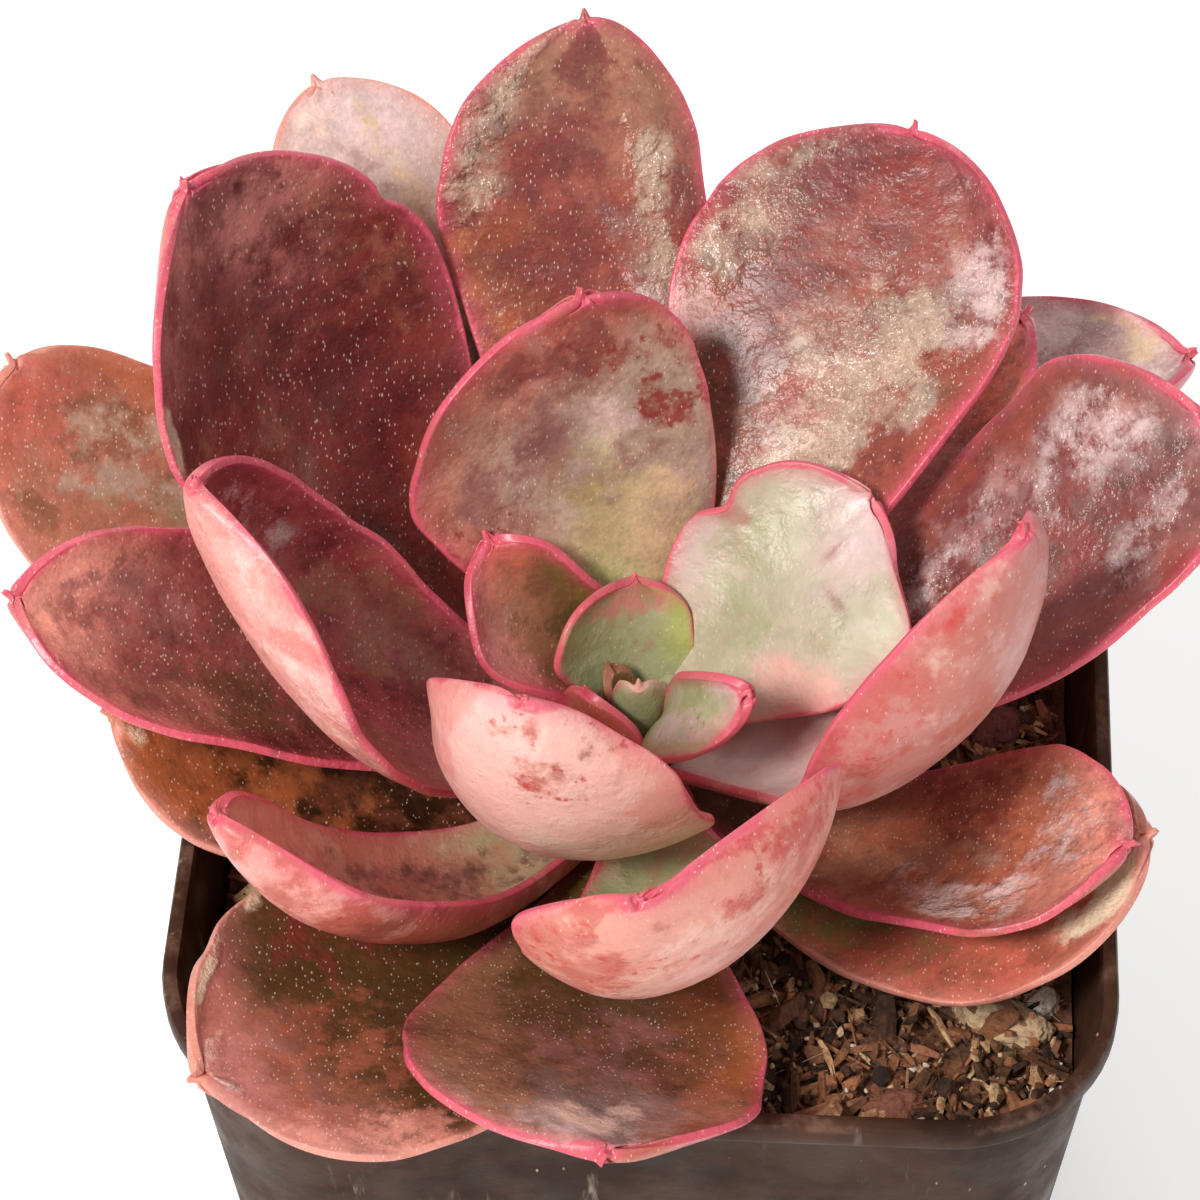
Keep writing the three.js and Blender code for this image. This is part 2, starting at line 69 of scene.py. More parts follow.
class Tone(Enum):
    """The colours of the plant, its soil and its pot, as sRGB hex."""

    WINE = "#5e1f20"
    MAROON = "#78302a"
    ROSEWOOD = "#874440"
    BRICK = "#96483a"
    TERRA = "#a35c44"
    TAN = "#a46e56"
    RUST = "#ab5f38"
    CORAL = "#bd6050"
    COCOA = "#66442f"
    EARTH = "#553a1f"
    UMBER = "#38200f"
    CLAY = "#8c5a42"
    ROSE = "#c47a72"
    SALMON = "#dc9080"
    SCARLET = "#bf4038"
    BLUSH = "#e2aaa0"
    SHELL = "#f0cdbd"
    SILVER = "#d2b6b2"
    MAUVE = "#925e58"
    DUSK = "#6c4740"
    DOVE = "#b09684"
    SAND = "#cbad88"
    OAT = "#bdb09a"
    SAGE = "#a3a77e"
    MOSS = "#7f8446"
    LIME = "#a6b05a"
    FERN = "#6a7838"
    OLIVE = "#76602c"
    CREAM = "#f0e0c0"
    PINK = "#d9586e"
    CRIMSON = "#a5484a"
    GARNET = "#8b2f2b"
    # Grey-beige of the waxy bloom with a painted sheen: reflected light painted into the leaf's colour.
    SHEEN = "#b99f8b"
    PEACH = "#ee9f96"
    PETAL = "#f3bcb3"
    APRICOT = "#d8795f"
    PLASTIC = "#40291f"
    PLASTIC_DARK = "#1f1612"
    # Paler plastic: scuffs, and on the pot's lip also a painted highlight.
    PLASTIC_WORN = "#745748"
    DUST = "#bcae9f"
    BARK_DARK = "#22140b"
    BARK = "#7a5036"
    BARK_RED = "#a86c48"
    BARK_PALE = "#e8c898"
    GRIT = "#e2dacc"
    LAVA = "#7a4038"
    FLOOR = "#fbfbfa"

    def linear(self) -> tuple[float, float, float, float]:
        """The tone as linear RGBA."""
        channels = [int(self.value[i:i + 2], 16) / 255 for i in (1, 3, 5)]
        return (*[c / 12.92 if c <= 0.04045 else ((c + 0.055) / 1.055) ** 2.4 for c in channels], 1.0)


class LeafGroup(Enum):
    """The finish that a leaf belongs to, which picks its material."""

    GREEN = "leaf_green"
    GREY = "leaf_grey"
    SALMON = "leaf_salmon"
    BURGUNDY = "leaf_burgundy"
    OLIVE = "leaf_olive"


def deselect_all() -> None:
    """Deselects every object."""
    bpy.ops.object.select_all(action="DESELECT")


def activate(piece: Piece) -> None:
    """Makes a piece the only selected and the active one.

    Args:
        piece: The object.
    """
    deselect_all()
    piece.select_set(True)
    bpy.context.view_layer.objects.active = piece


def apply_modifier(piece: Piece, kind: str, **settings: object) -> None:
    """Adds a modifier with its settings and applies it.

    Args:
        piece: The object that gets the modifier.
        kind: Blender's name of the modifier type.
        **settings: Values for the modifier's properties.
    """
    activate(piece)
    modifier = piece.modifiers.new(kind.title(), kind)
    for name, value in settings.items():
        setattr(modifier, name, value)
    bpy.ops.object.modifier_apply(modifier=modifier.name)


def named(name: str) -> Piece:
    """Names the object that an operator has just made.

    Args:
        name: The new name of the object and its mesh.

    Returns:
        The object.
    """
    piece = bpy.context.active_object
    piece.name = name
    piece.data.name = name
    return piece


def start_edit() -> None:
    """Enters edit mode with all of the active piece selected."""
    bpy.ops.object.mode_set(mode="EDIT")
    bpy.ops.mesh.select_all(action="SELECT")


def draw_up(rise: float) -> None:
    """Extrudes what is selected straight up by a number of millimetres."""
    bpy.ops.mesh.extrude_region_move(TRANSFORM_OT_translate={"value": (0, 0, rise * MM)})


def end_edit() -> None:
    """Turns every face outwards and leaves edit mode."""
    bpy.ops.mesh.select_all(action="SELECT")
    bpy.ops.mesh.normals_make_consistent(inside=False)
    bpy.ops.object.mode_set(mode="OBJECT")


def points_of(mesh: Mesh) -> Array:
    """Reads the places of a mesh's vertices.

    Args:
        mesh: The mesh.

    Returns:
        The places as rows of three.
    """
    places = np.empty(len(mesh.vertices) * 3, np.float64)
    mesh.vertices.foreach_get("co", places)
    return places.reshape(-1, 3)


def place_points(mesh: Mesh, places: Array) -> None:
    """Moves the mesh's vertices to new places."""
    mesh.vertices.foreach_set("co", np.ascontiguousarray(places, np.float32).ravel())
    mesh.update()


def set_values(mesh: Mesh, name: str, values: Array) -> None:
    """Stores one number for each vertex under a name."""
    attribute = mesh.attributes.get(name) or mesh.attributes.new(name, "FLOAT", "POINT")
    attribute.data.foreach_set("value", np.ascontiguousarray(values, np.float32))


def set_tone(mesh: Mesh, tone: float) -> None:
    """Stores the same place in the colour run for the whole piece."""
    set_values(mesh, "tone", np.full(len(mesh.vertices), tone))


def get_values(mesh: Mesh, name: str) -> Array:
    """Reads the numbers stored for each vertex.

    Args:
        mesh: The mesh.
        name: The name they are stored under.

    Returns:
        The numbers.
    """
    values = np.empty(len(mesh.vertices), np.float32)
    mesh.attributes[name].data.foreach_get("value", values)
    return values.astype(np.float64)


def set_colours(mesh: Mesh, name: str, colours: Array) -> None:
    """Stores one linear colour for each vertex.

    Args:
        mesh: The mesh.
        name: The name to store them under.
        colours: Rows of red, green and blue.
    """
    attribute = mesh.color_attributes.new(name, "FLOAT_COLOR", "POINT")
    rgba = np.hstack([colours, np.ones((len(colours), 1))])
    attribute.data.foreach_set("color", np.ascontiguousarray(rgba, np.float32).ravel())


def smooth(values: Array, low: float, high: float) -> Array:
    """Smooth step from 0 at low to 1 at high."""
    share = np.clip((values - low) / (high - low), 0, 1)
    return share * share * (3 - 2 * share)


def wobble(x: Array, y: Array, seed: float) -> Array:
    """Smooth uneven waves in two directions, between about -1 and 1.

    Args:
        x: First coordinate, where one unit is about one wave.
        y: Second coordinate.
        seed: Shifts the waves, so that each leaf has its own.

    Returns:
        The height of the waves.
    """
    height = np.zeros_like(x)
    for k, (turn, pace) in enumerate(((0.3, 1.0), (1.7, 1.37), (2.6, 1.9), (4.1, 2.7), (5.3, 3.9))):
        along = x * math.cos(turn + seed) + y * math.sin(turn + seed)
        height += np.sin(along * pace * math.tau * 0.5 + seed * (k + 1) * 1.9) / (1 + 0.6 * k)
    return height / 2.2


@dataclass(frozen=True)
class Patch:
    """A blotch on a leaf, or a painted sheen or painted shadow: its place along (0 foot, 1 tip) and across (-1
    right, 1 left) the blade.

    Long and wide are its reach in the same shares. It may be glossy, crusted or flecked, and lies on the
    upper side unless it is said to be under.
    """

    along: float
    across: float
    long: float
    wide: float
    tone: Tone
    strength: float = 0.8
    ragged: float = 0.35
    gloss: float = 0.0
    crust: float = 0.0
    fleck: float = 0.0
    under: bool = False


@dataclass(frozen=True)
class Notch:
    """A nick in a leaf's edge, or a bulge where the depth is negative.

    The numbers are its place along the blade, its side (1 left, -1 right), depth and width in millimetres.
    """

    along: float
    side: int
    depth: float
    width: float


@dataclass(frozen=True)
class LeafForm:
    """A leaf's shape in degrees and millimetres, with the same meanings and values as its solid."""

    dir: float
    turn: float
    lift: tuple[float, float]
    roll: float
    fold: tuple[float, float]
    length: float
    width: float
    full: float
    neck: float
    lean: float
    blunt: float
    base: float
    root: float = 4.0
    wave: float = 0.15

    @property
    def small(self) -> bool:
        """Whether this is a bud leaflet, which has half the grid and a thinner blade."""
        return self.length < 15


@dataclass(frozen=True)
class LeafPaint:
    """A leaf's colours from foot to tip, on its back and along its edge, with its blotches; on some leaves these
    include painted sheen and painted shade.
    """

    foot: Tone
    blade: Tone
    end: Tone
    under: Tone
    group: LeafGroup
    margin: Tone = Tone.PINK
    left: Tone | None = None
    right: Tone | None = None
    patches: tuple[Patch, ...] = ()
    notches: tuple[Notch, ...] = ()
    tip: float = 1.0


LEAF_FORMS: dict[str, LeafForm] = {
    "bud_front": LeafForm(272, 0, (93, 93), 0, (95, 95), 9, 7.5, 0.55, 0.5, 0, 2.3, 83.2, root=2.6),
    "bud_right": LeafForm(20, 0, (82, 76), 0, (60, 60), 6, 5, 0.5, 0.5, 0, 2, 83.2, root=2.7),
    "bud_left": LeafForm(150, 0, (86, 80), 0, (60, 60), 7, 5, 0.5, 0.5, 0, 2, 83.2, root=2.5),
    "heart_left": LeafForm(212, -1, (74, 84), 18, (24, -3), 9, 10, 0.5, 0.35, 0.3, 2, 83.4),
    "heart_back": LeafForm(100, -14, (78, 52), 33, (46, 23), 12.5, 16, 0.53, 0.4, 0.23, 2.5, 83.4),
    "heart_right": LeafForm(300, 35, (81, 37), 42, (92, 0), 22, 9.5, 0.54, 0.34, -0.19, 1.8, 83.4),
    "inner_left": LeafForm(148, 0, (49, 55), -41, (59, 49), 21, 15.5, 0.53, 0.25, 0.12, 2, 83.3, wave=0.4),
    "inner_right": LeafForm(37, -10, (49, 35), 19, (41, 3), 29, 25, 0.56, 0.38, -0.13, 2.3, 82.8, wave=0.5),
    "inner_front": LeafForm(253, -15, (5, 111), 19, (35, 69), 46.5, 29, 0.58, 0.34, 0.08, 3, 82.2, wave=0.4),
    "inner_back": LeafForm(104, 9, (44, 88), 0, (22, -7), 44, 31, 0.61, 0.27, 0.24, 2.4, 81.6, wave=0.5),
    "middle_right": LeafForm(-17, -4, (8, 102), -4, (35, 60), 62, 33, 0.58, 0.29, -0.38, 2.5, 81, wave=0.5),
    "middle_left": LeafForm(184, 18, (9, 92), 10, (32, 115), 60.5, 35.5, 0.59, 0.33, 0.13, 2.6, 80.4, wave=0.5),
    "back_right": LeafForm(56, 15, (42, 31), 5, (7, 31), 62.5, 34.5, 0.74, 0.19, 0.03, 1.9, 79.9, wave=0.6),
    "front_curled": LeafForm(281, -25, (-4, 89), 26, (73, 49), 63.5, 37.5, 0.78, 0.24, 0.43, 2.6, 79.3, wave=0.5),
    "back_left": LeafForm(146, 14, (16, 82), -3, (26, 41), 72, 36.5, 0.72, 0.4, 0, 2.8, 78.7, wave=0.6),
    "right": LeafForm(8, 16, (24, 49), 18, (-8, 35), 62, 30, 0.76, 0.26, 0.1, 2.3, 78.1, wave=0.7),
    "front_left_folded": LeafForm(233, -33, (-10, 79), -5, (97, 45), 58, 22, 0.64, 0.42, 0.27, 2.5, 77.5,
                                  wave=0.5),
    "back": LeafForm(91, 16, (34, 54), 4, (-1, 5), 70, 26.5, 0.76, 0.31, 0.29, 2.2, 77, wave=0.6),
    "front_right": LeafForm(331, 13, (-1, 42), 7, (7, 37), 49.5, 24, 0.72, 0.24, 0.08, 2.1, 76.4, wave=0.5),
    "left": LeafForm(182, 8, (22, 38), -24, (53, 35), 61.5, 24.5, 0.69, 0.23, 0, 1.8, 75.8, wave=0.5),
    "far_right_inner": LeafForm(49, -7, (28, 34), -11, (-8, 22), 55.5, 27.5, 0.59, 0.21, 0.05, 1.8, 75.2,
                                wave=0.6),
    "front": LeafForm(266, 8, (-3, 39), -12, (17, 6), 52.5, 33.5, 0.67, 0.19, -0.14, 2.4, 74.6, wave=0.8),
    "far_back_left": LeafForm(122, 5, (34, 45), -5, (5, 24), 72, 22.5, 0.69, 0.19, -0.07, 3, 74.1, wave=0.6),
    "low_front_right": LeafForm(327, 33, (-2, 41), 10, (-14, 12), 51, 26.5, 0.63, 0.19, -0.07, 2.5, 73.5,
                                wave=0.7),
    "low_left": LeafForm(187, 8, (14, 37), -12, (7, 6), 50.5, 28, 0.6, 0.34, 0.06, 2.5, 72.9, wave=0.6),
    "low_back": LeafForm(92, 0, (12, 30), 0, (10, 10), 52, 24, 0.65, 0.22, 0, 2.4, 72.3, wave=0.7),
    "low_back_left": LeafForm(122, 0, (8, 25), 0, (8, 8), 46, 22, 0.65, 0.22, 0, 2.4, 71.7, wave=0.7),
    "far_left": LeafForm(171, -29, (17, 39), -5, (6, -5), 72, 26.5, 0.67, 0.24, -0.02, 2.6, 71.2, wave=0.7),
    "far_right": LeafForm(45, -14, (28, 12), -6, (22, 72), 68, 33.5, 0.56, 0.2, 0.27, 2.3, 70.6, wave=0.6),
    "low_front_left": LeafForm(244, -32, (13, 19), 4, (18, 33), 56, 36.5, 0.63, 0.27, 0.08, 2.4, 70,
                               wave=0.8),
}

LEAF_PAINTS: dict[str, LeafPaint] = {
    "bud_front": LeafPaint(Tone.MOSS, Tone.SAGE, Tone.SAGE, Tone.SAGE, LeafGroup.GREEN, Tone.BLUSH,
        patches=(Patch(0.8, -0.9, 0.4, 0.3, Tone.ROSE, 0.9, under=True),)),
    "bud_right": LeafPaint(Tone.FERN, Tone.MOSS, Tone.SAGE, Tone.MOSS, LeafGroup.GREEN, Tone.SAGE),
    "bud_left": LeafPaint(Tone.FERN, Tone.OLIVE, Tone.TAN, Tone.OLIVE, LeafGroup.GREEN, Tone.TAN),
    "heart_left": LeafPaint(Tone.EARTH, Tone.CLAY, Tone.ROSE, Tone.CORAL, LeafGroup.SALMON,
        patches=(Patch(0.75, 0.4, 0.2, 0.5, Tone.SCARLET, 0.5, under=True),)),
    "heart_back": LeafPaint(Tone.SAGE, Tone.SAGE, Tone.TAN, Tone.SAGE, LeafGroup.GREEN, tip=0.6,
        right=Tone.LIME,
        patches=(Patch(0.5, 0.1, 0.3, 0.4, Tone.TAN, 0.3), Patch(0.86, -0.1, 0.14, 0.8, Tone.ROSE, 0.7),
            Patch(0.62, 0.0, 0.1, 0.05, Tone.UMBER, 0.4, 0.9, fleck=1.0))),
    "heart_right": LeafPaint(Tone.LIME, Tone.SAGE, Tone.SILVER, Tone.ROSE, LeafGroup.GREEN, tip=0.25,
        patches=(Patch(0.66, -0.5, 0.25, 0.4, Tone.SILVER, 0.7),
            Patch(0.7, -0.5, 0.1, 0.3, Tone.MAUVE, 0.4, fleck=1.2))),
    "inner_left": LeafPaint(Tone.EARTH, Tone.CLAY, Tone.CORAL, Tone.ROSE, LeafGroup.OLIVE, left=Tone.ROSE,
        patches=(Patch(0.35, -0.3, 0.3, 0.4, Tone.EARTH, 0.7), Patch(0.65, -0.5, 0.2, 0.4, Tone.OLIVE, 0.5),
            Patch(0.5, 0.75, 0.4, 0.25, Tone.ROSE, 0.6))),
    "inner_right": LeafPaint(Tone.OAT, Tone.OAT, Tone.SILVER, Tone.BLUSH, LeafGroup.GREEN, tip=0.25,
        patches=(Patch(0.55, 0.2, 0.3, 0.55, Tone.SAGE, 0.6), Patch(0.75, -0.7, 0.16, 0.3, Tone.SAGE, 0.55),
            Patch(0.3, -0.8, 0.26, 0.4, Tone.BLUSH, 0.7), Patch(0.5, 0.8, 0.2, 0.3, Tone.SILVER, 0.6),
            Patch(0.72, -0.1, 0.2, 0.6, Tone.SILVER, 0.45),
            Patch(0.82, -0.12, 0.09, 0.05, Tone.GARNET, 0.75, 0.5, fleck=1.2),
            Patch(0.7, -0.45, 0.03, 0.14, Tone.ROSEWOOD, 0.75, 0.6, fleck=1.2),
            Patch(0.64, 0.82, 0.04, 0.22, Tone.TAN, 0.9, 0.7, fleck=1.0)),
        notches=(Notch(0.64, 1, 1.8, 1.5), Notch(0.93, -1, 1.6, 1.6), Notch(0.8, -1, -1.0, 4.0))),
    "inner_front": LeafPaint(Tone.SAGE, Tone.SALMON, Tone.SALMON, Tone.PETAL, LeafGroup.SALMON, tip=0.4,
        patches=(Patch(0.93, 0.6, 0.05, 0.35, Tone.GARNET, 0.45, 1.2, fleck=1.4, under=True),
            Patch(0.84, 0.3, 0.06, 0.3, Tone.CORAL, 0.45, 1.2, fleck=1.6, under=True),
            Patch(0.97, -0.1, 0.05, 0.3, Tone.CORAL, 0.6, 0.8, fleck=1.0, under=True),
            Patch(0.78, 0.95, 0.2, 0.25, Tone.PEACH, 0.8, 0.5, under=True),
            Patch(0.8, -0.8, 0.2, 0.3, Tone.PEACH, 0.7, 0.5, under=True),
            Patch(0.5, 0.0, 0.16, 0.6, Tone.SHELL, 0.6, 0.5, under=True),
            Patch(0.3, 0.2, 0.16, 1.0, Tone.SILVER, 0.6, 0.4, under=True)),
        notches=(Notch(0.84, -1, -2.6, 3.2), Notch(0.97, -1, 1.0, 2.0), Notch(0.95, 1, 0.8, 2.0),
            Notch(0.5, 1, -1.2, 5.0))),
    "inner_back": LeafPaint(Tone.LIME, Tone.DOVE, Tone.CORAL, Tone.ROSE, LeafGroup.GREY, left=Tone.CORAL,
        patches=(Patch(0.34, -0.3, 0.24, 0.7, Tone.SAND, 0.8), Patch(0.5, -0.05, 0.2, 0.35, Tone.LIME, 0.5),
            Patch(0.6, 0.4, 0.2, 0.5, Tone.MAUVE, 0.7), Patch(0.66, -0.1, 0.12, 0.3, Tone.SILVER, 0.55),
            Patch(0.7, -0.68, 0.09, 0.22, Tone.GARNET, 0.6, 1.3, fleck=2.4),
            Patch(0.82, -0.5, 0.08, 0.3, Tone.BRICK, 0.6, 1.2, fleck=1.8),
            Patch(0.67, 0.33, 0.03, 0.1, Tone.WINE, 0.6, 0.9, fleck=1.5),
            Patch(0.85, 0.15, 0.1, 0.5, Tone.ROSEWOOD, 0.6, 0.9, fleck=1.3),
            Patch(0.35, 0.85, 0.2, 0.2, Tone.GARNET, 0.4, 1.2, fleck=1.6))),
    "middle_right": LeafPaint(Tone.SILVER, Tone.ROSE, Tone.CORAL, Tone.ROSE, LeafGroup.SALMON,
        patches=(Patch(0.35, -0.5, 0.2, 0.6, Tone.BLUSH, 0.7, under=True),
            Patch(0.6, -0.85, 0.35, 0.25, Tone.SCARLET, 0.6, 0.8, fleck=1.2, under=True),
            Patch(0.85, -0.3, 0.16, 0.7, Tone.CORAL, 0.8, 0.7, fleck=0.8, under=True),
            Patch(0.45, -0.5, 0.2, 0.5, Tone.ROSE, 0.3, 0.7, fleck=1.3, under=True),
            Patch(0.27, -0.97, 0.08, 0.08, Tone.CREAM, 0.9, 0.7, crust=1.0, under=True),
            Patch(0.27, -0.97, 0.08, 0.1, Tone.CREAM, 0.9, 0.7, crust=1.0))),
    "middle_left": LeafPaint(Tone.ROSE, Tone.CRIMSON, Tone.CRIMSON, Tone.PEACH, LeafGroup.BURGUNDY,
        patches=(Patch(0.45, -0.5, 0.2, 0.4, Tone.TAN, 0.7), Patch(0.65, 0.1, 0.25, 0.4, Tone.WINE, 0.35),
            # Silver glossy patch: painted sheen.
            Patch(0.78, -0.6, 0.12, 0.15, Tone.SILVER, 0.5, gloss=0.5),
            Patch(0.84, 0.82, 0.035, 0.2, Tone.SCARLET, 0.95, 0.5, under=True),
            Patch(0.7, 0.8, 0.3, 0.4, Tone.PETAL, 0.6, under=True),
            Patch(0.35, 0.7, 0.2, 0.4, Tone.APRICOT, 0.6, under=True))),
    "back_right": LeafPaint(Tone.BRICK, Tone.BRICK, Tone.ROSEWOOD, Tone.SALMON, LeafGroup.BURGUNDY,
        # Beige and silver glossy patches: waxy bloom with a painted sheen.
        patches=(Patch(0.5, -0.15, 0.28, 0.4, Tone.SHEEN, 0.95, 0.25, gloss=0.6),
            Patch(0.68, -0.42, 0.13, 0.3, Tone.SHEEN, 0.8, 0.5, gloss=1.0),
            Patch(0.78, -0.75, 0.14, 0.2, Tone.SILVER, 0.8, 0.5, gloss=1.0),
            Patch(0.8, 0.74, 0.12, 0.22, Tone.SHEEN, 0.8, 0.6, gloss=1.0),
            Patch(0.7, 0.3, 0.22, 0.45, Tone.MAROON, 0.8, 0.9, fleck=1.2),
            # Cocoa patch on the left half: painted shadow of the inner back leaf.
            Patch(0.4, 0.55, 0.25, 0.35, Tone.COCOA, 0.8, 0.5),
            Patch(0.9, -0.2, 0.1, 0.5, Tone.GARNET, 0.5, 1.1, fleck=1.4))),
    "front_curled": LeafPaint(Tone.SAGE, Tone.SAGE, Tone.SALMON, Tone.SALMON, LeafGroup.SALMON, tip=0.3,
        patches=(Patch(0.85, -0.7, 0.16, 0.5, Tone.CORAL, 0.8, 0.9, fleck=1.6, under=True),
            Patch(0.9, 0.75, 0.14, 0.3, Tone.SCARLET, 0.6, 1.1, fleck=1.6, under=True),
            Patch(0.72, 0.2, 0.14, 0.5, Tone.PETAL, 0.6, 0.7, under=True),
            Patch(0.6, -0.2, 0.16, 0.7, Tone.PETAL, 0.6, 0.6, under=True),
            Patch(0.8, -0.2, 0.1, 0.3, Tone.CORAL, 0.7, 1.2, fleck=1.4, under=True),
            Patch(0.7, 0.75, 0.15, 0.25, Tone.CORAL, 0.7, 1.0, fleck=1.0, under=True)),
        notches=(Notch(0.88, -1, -2.6, 3.5), Notch(0.97, -1, 1.2, 2.5))),
    "back_left": LeafPaint(Tone.BRICK, Tone.MAROON, Tone.ROSE, Tone.SALMON, LeafGroup.BURGUNDY,
        patches=(Patch(0.7, -0.4, 0.3, 0.5, Tone.WINE, 0.6, 0.7),
            Patch(0.85, 0.5, 0.14, 0.5, Tone.ROSEWOOD, 0.4), Patch(0.55, 0.1, 0.2, 0.4, Tone.DUSK, 0.45, 0.8),
            Patch(0.78, 1.0, 0.06, 0.08, Tone.CREAM, 0.9, 0.7, crust=1.0)),
        notches=(Notch(0.8, -1, 1.3, 1.2), Notch(0.68, -1, -4.0, 11.0))),
    "right": LeafPaint(Tone.MAROON, Tone.ROSEWOOD, Tone.MAUVE, Tone.SALMON, LeafGroup.GREY,
        patches=(Patch(0.72, 0.85, 0.25, 0.3, Tone.BRICK, 0.8, 0.8, fleck=1.0),
            # Silver glossy patches: waxy bloom with a painted sheen.
            Patch(0.84, 0.42, 0.13, 0.3, Tone.SILVER, 0.7, 0.6, gloss=1.0),
            Patch(0.6, 0.45, 0.16, 0.25, Tone.SILVER, 0.5, 0.7, gloss=1.0),
            Patch(0.82, -0.35, 0.1, 0.25, Tone.SILVER, 0.5, 0.8, gloss=1.0),
            Patch(0.62, 0.0, 0.16, 0.3, Tone.DUSK, 0.7, 0.8, gloss=0.8),
            Patch(0.9, -0.05, 0.08, 0.25, Tone.DUSK, 0.7, 0.9, fleck=0.8, gloss=0.6),
            Patch(0.5, -0.7, 0.3, 0.3, Tone.BRICK, 0.85, 0.6, fleck=0.8),
            Patch(0.7, -0.95, 0.3, 0.2, Tone.GARNET, 0.8, 0.5))),
    "front_left_folded": LeafPaint(Tone.SAGE, Tone.SALMON, Tone.SALMON, Tone.CORAL, LeafGroup.SALMON,
        patches=(Patch(0.3, 0.0, 0.2, 0.8, Tone.DUSK, 0.6), Patch(0.55, 0.0, 0.2, 0.6, Tone.MAUVE, 0.5),
            Patch(0.45, 0.5, 0.3, 0.5, Tone.BRICK, 0.7, 0.9, fleck=1.0, under=True),
            Patch(0.88, 0.2, 0.12, 0.8, Tone.PEACH, 0.7, under=True),
            Patch(0.6, 0.3, 0.06, 0.3, Tone.SCARLET, 0.6, 0.8, fleck=1.0, under=True))),
    "back": LeafPaint(Tone.TERRA, Tone.BRICK, Tone.TAN, Tone.SALMON, LeafGroup.BURGUNDY,
        # Beige and silver glossy patches: waxy bloom with a painted sheen.
        patches=(Patch(0.72, -0.42, 0.13, 0.26, Tone.SHEEN, 0.75, 0.6, gloss=1.0),
            Patch(0.6, -0.3, 0.1, 0.25, Tone.SILVER, 0.5, 0.9, gloss=1.0),
            Patch(0.87, 0.78, 0.12, 0.2, Tone.SHEEN, 0.7, 0.6, gloss=1.0),
            Patch(0.75, 0.3, 0.2, 0.5, Tone.MAROON, 0.7, 0.9, fleck=0.9),
            Patch(0.66, 0.7, 0.1, 0.25, Tone.RUST, 0.6, 0.8),
            Patch(0.93, 0.0, 0.08, 0.4, Tone.MAROON, 0.7, 0.8))),
    "front_right": LeafPaint(Tone.COCOA, Tone.TERRA, Tone.SALMON, Tone.RUST, LeafGroup.BURGUNDY,
        # The silver glossy patches are painted highlights on the waxy bloom.
        patches=(Patch(0.72, -0.5, 0.16, 0.3, Tone.SILVER, 0.7, 0.9, gloss=0.8),
            Patch(0.5, -0.2, 0.2, 0.5, Tone.TAN, 0.7, 0.7),
            Patch(0.62, 0.5, 0.16, 0.3, Tone.MAROON, 0.5, 0.9, fleck=1.0),
            Patch(0.86, 0.1, 0.12, 0.5, Tone.SILVER, 0.5, 0.7, gloss=0.6))),
    "left": LeafPaint(Tone.MAROON, Tone.ROSEWOOD, Tone.SALMON, Tone.ROSE, LeafGroup.BURGUNDY,
        patches=(Patch(0.55, 0.2, 0.25, 0.5, Tone.COCOA, 0.6, 0.6),
            Patch(0.8, -0.3, 0.16, 0.4, Tone.MAUVE, 0.6))),
    "far_right_inner": LeafPaint(Tone.DOVE, Tone.ROSE, Tone.APRICOT, Tone.ROSE, LeafGroup.BURGUNDY),
    "front": LeafPaint(Tone.OLIVE, Tone.COCOA, Tone.SILVER, Tone.RUST, LeafGroup.OLIVE, left=Tone.RUST,
        right=Tone.TAN,
        patches=(Patch(0.37, -0.3, 0.2, 0.5, Tone.EARTH, 0.6), Patch(0.66, 0.1, 0.16, 0.5, Tone.MAUVE, 0.6),
            Patch(0.8, -0.5, 0.16, 0.4, Tone.TAN, 0.6), Patch(0.8, 0.6, 0.2, 0.4, Tone.TERRA, 0.6),
            Patch(0.9, 0.0, 0.07, 0.25, Tone.SHELL, 0.75, 0.8, crust=0.4)),
        notches=(Notch(0.97, 1, 1.5, 2.5),)),
    "far_back_left": LeafPaint(Tone.OLIVE, Tone.DOVE, Tone.SILVER, Tone.SALMON, LeafGroup.GREY, Tone.SALMON,
        patches=(Patch(0.4, 0.0, 0.2, 1.0, Tone.OLIVE, 0.7), Patch(0.88, -0.35, 0.14, 0.15, Tone.SAND, 0.6),
            Patch(0.7, 0.3, 0.2, 0.5, Tone.TAN, 0.45), Patch(0.92, 0.4, 0.1, 0.4, Tone.SHELL, 0.6))),
    "low_front_right": LeafPaint(Tone.LIME, Tone.CORAL, Tone.APRICOT, Tone.RUST, LeafGroup.OLIVE, Tone.SALMON,
        patches=(Patch(0.91, -0.55, 0.09, 0.3, Tone.CREAM, 1.0, 0.6, crust=1.0),
            Patch(0.35, -0.4, 0.22, 0.6, Tone.MOSS, 0.8), Patch(0.65, -0.6, 0.2, 0.4, Tone.TERRA, 0.5))),
    # The umber foot and blade are painted shade: this face of the leaf lies in shade.
    "low_left": LeafPaint(Tone.UMBER, Tone.UMBER, Tone.RUST, Tone.RUST, LeafGroup.OLIVE, Tone.SALMON,
        patches=(Patch(0.75, 0.5, 0.2, 0.5, Tone.RUST, 0.8, 0.7),
            Patch(0.98, 0.3, 0.04, 0.3, Tone.CREAM, 0.8, 0.7, crust=1.0))),
    "low_back": LeafPaint(Tone.OLIVE, Tone.COCOA, Tone.TAN, Tone.RUST, LeafGroup.OLIVE, Tone.SALMON,
        patches=(Patch(0.8, 0.4, 0.16, 0.4, Tone.MAUVE, 0.5, 0.7),)),
    "low_back_left": LeafPaint(Tone.OLIVE, Tone.COCOA, Tone.ROSE, Tone.RUST, LeafGroup.OLIVE, Tone.SALMON,
        patches=(Patch(0.75, -0.4, 0.16, 0.4, Tone.RUST, 0.5, 0.7),)),
    "far_left": LeafPaint(Tone.COCOA, Tone.TAN, Tone.CORAL, Tone.RUST, LeafGroup.OLIVE, Tone.SALMON,
        right=Tone.RUST,
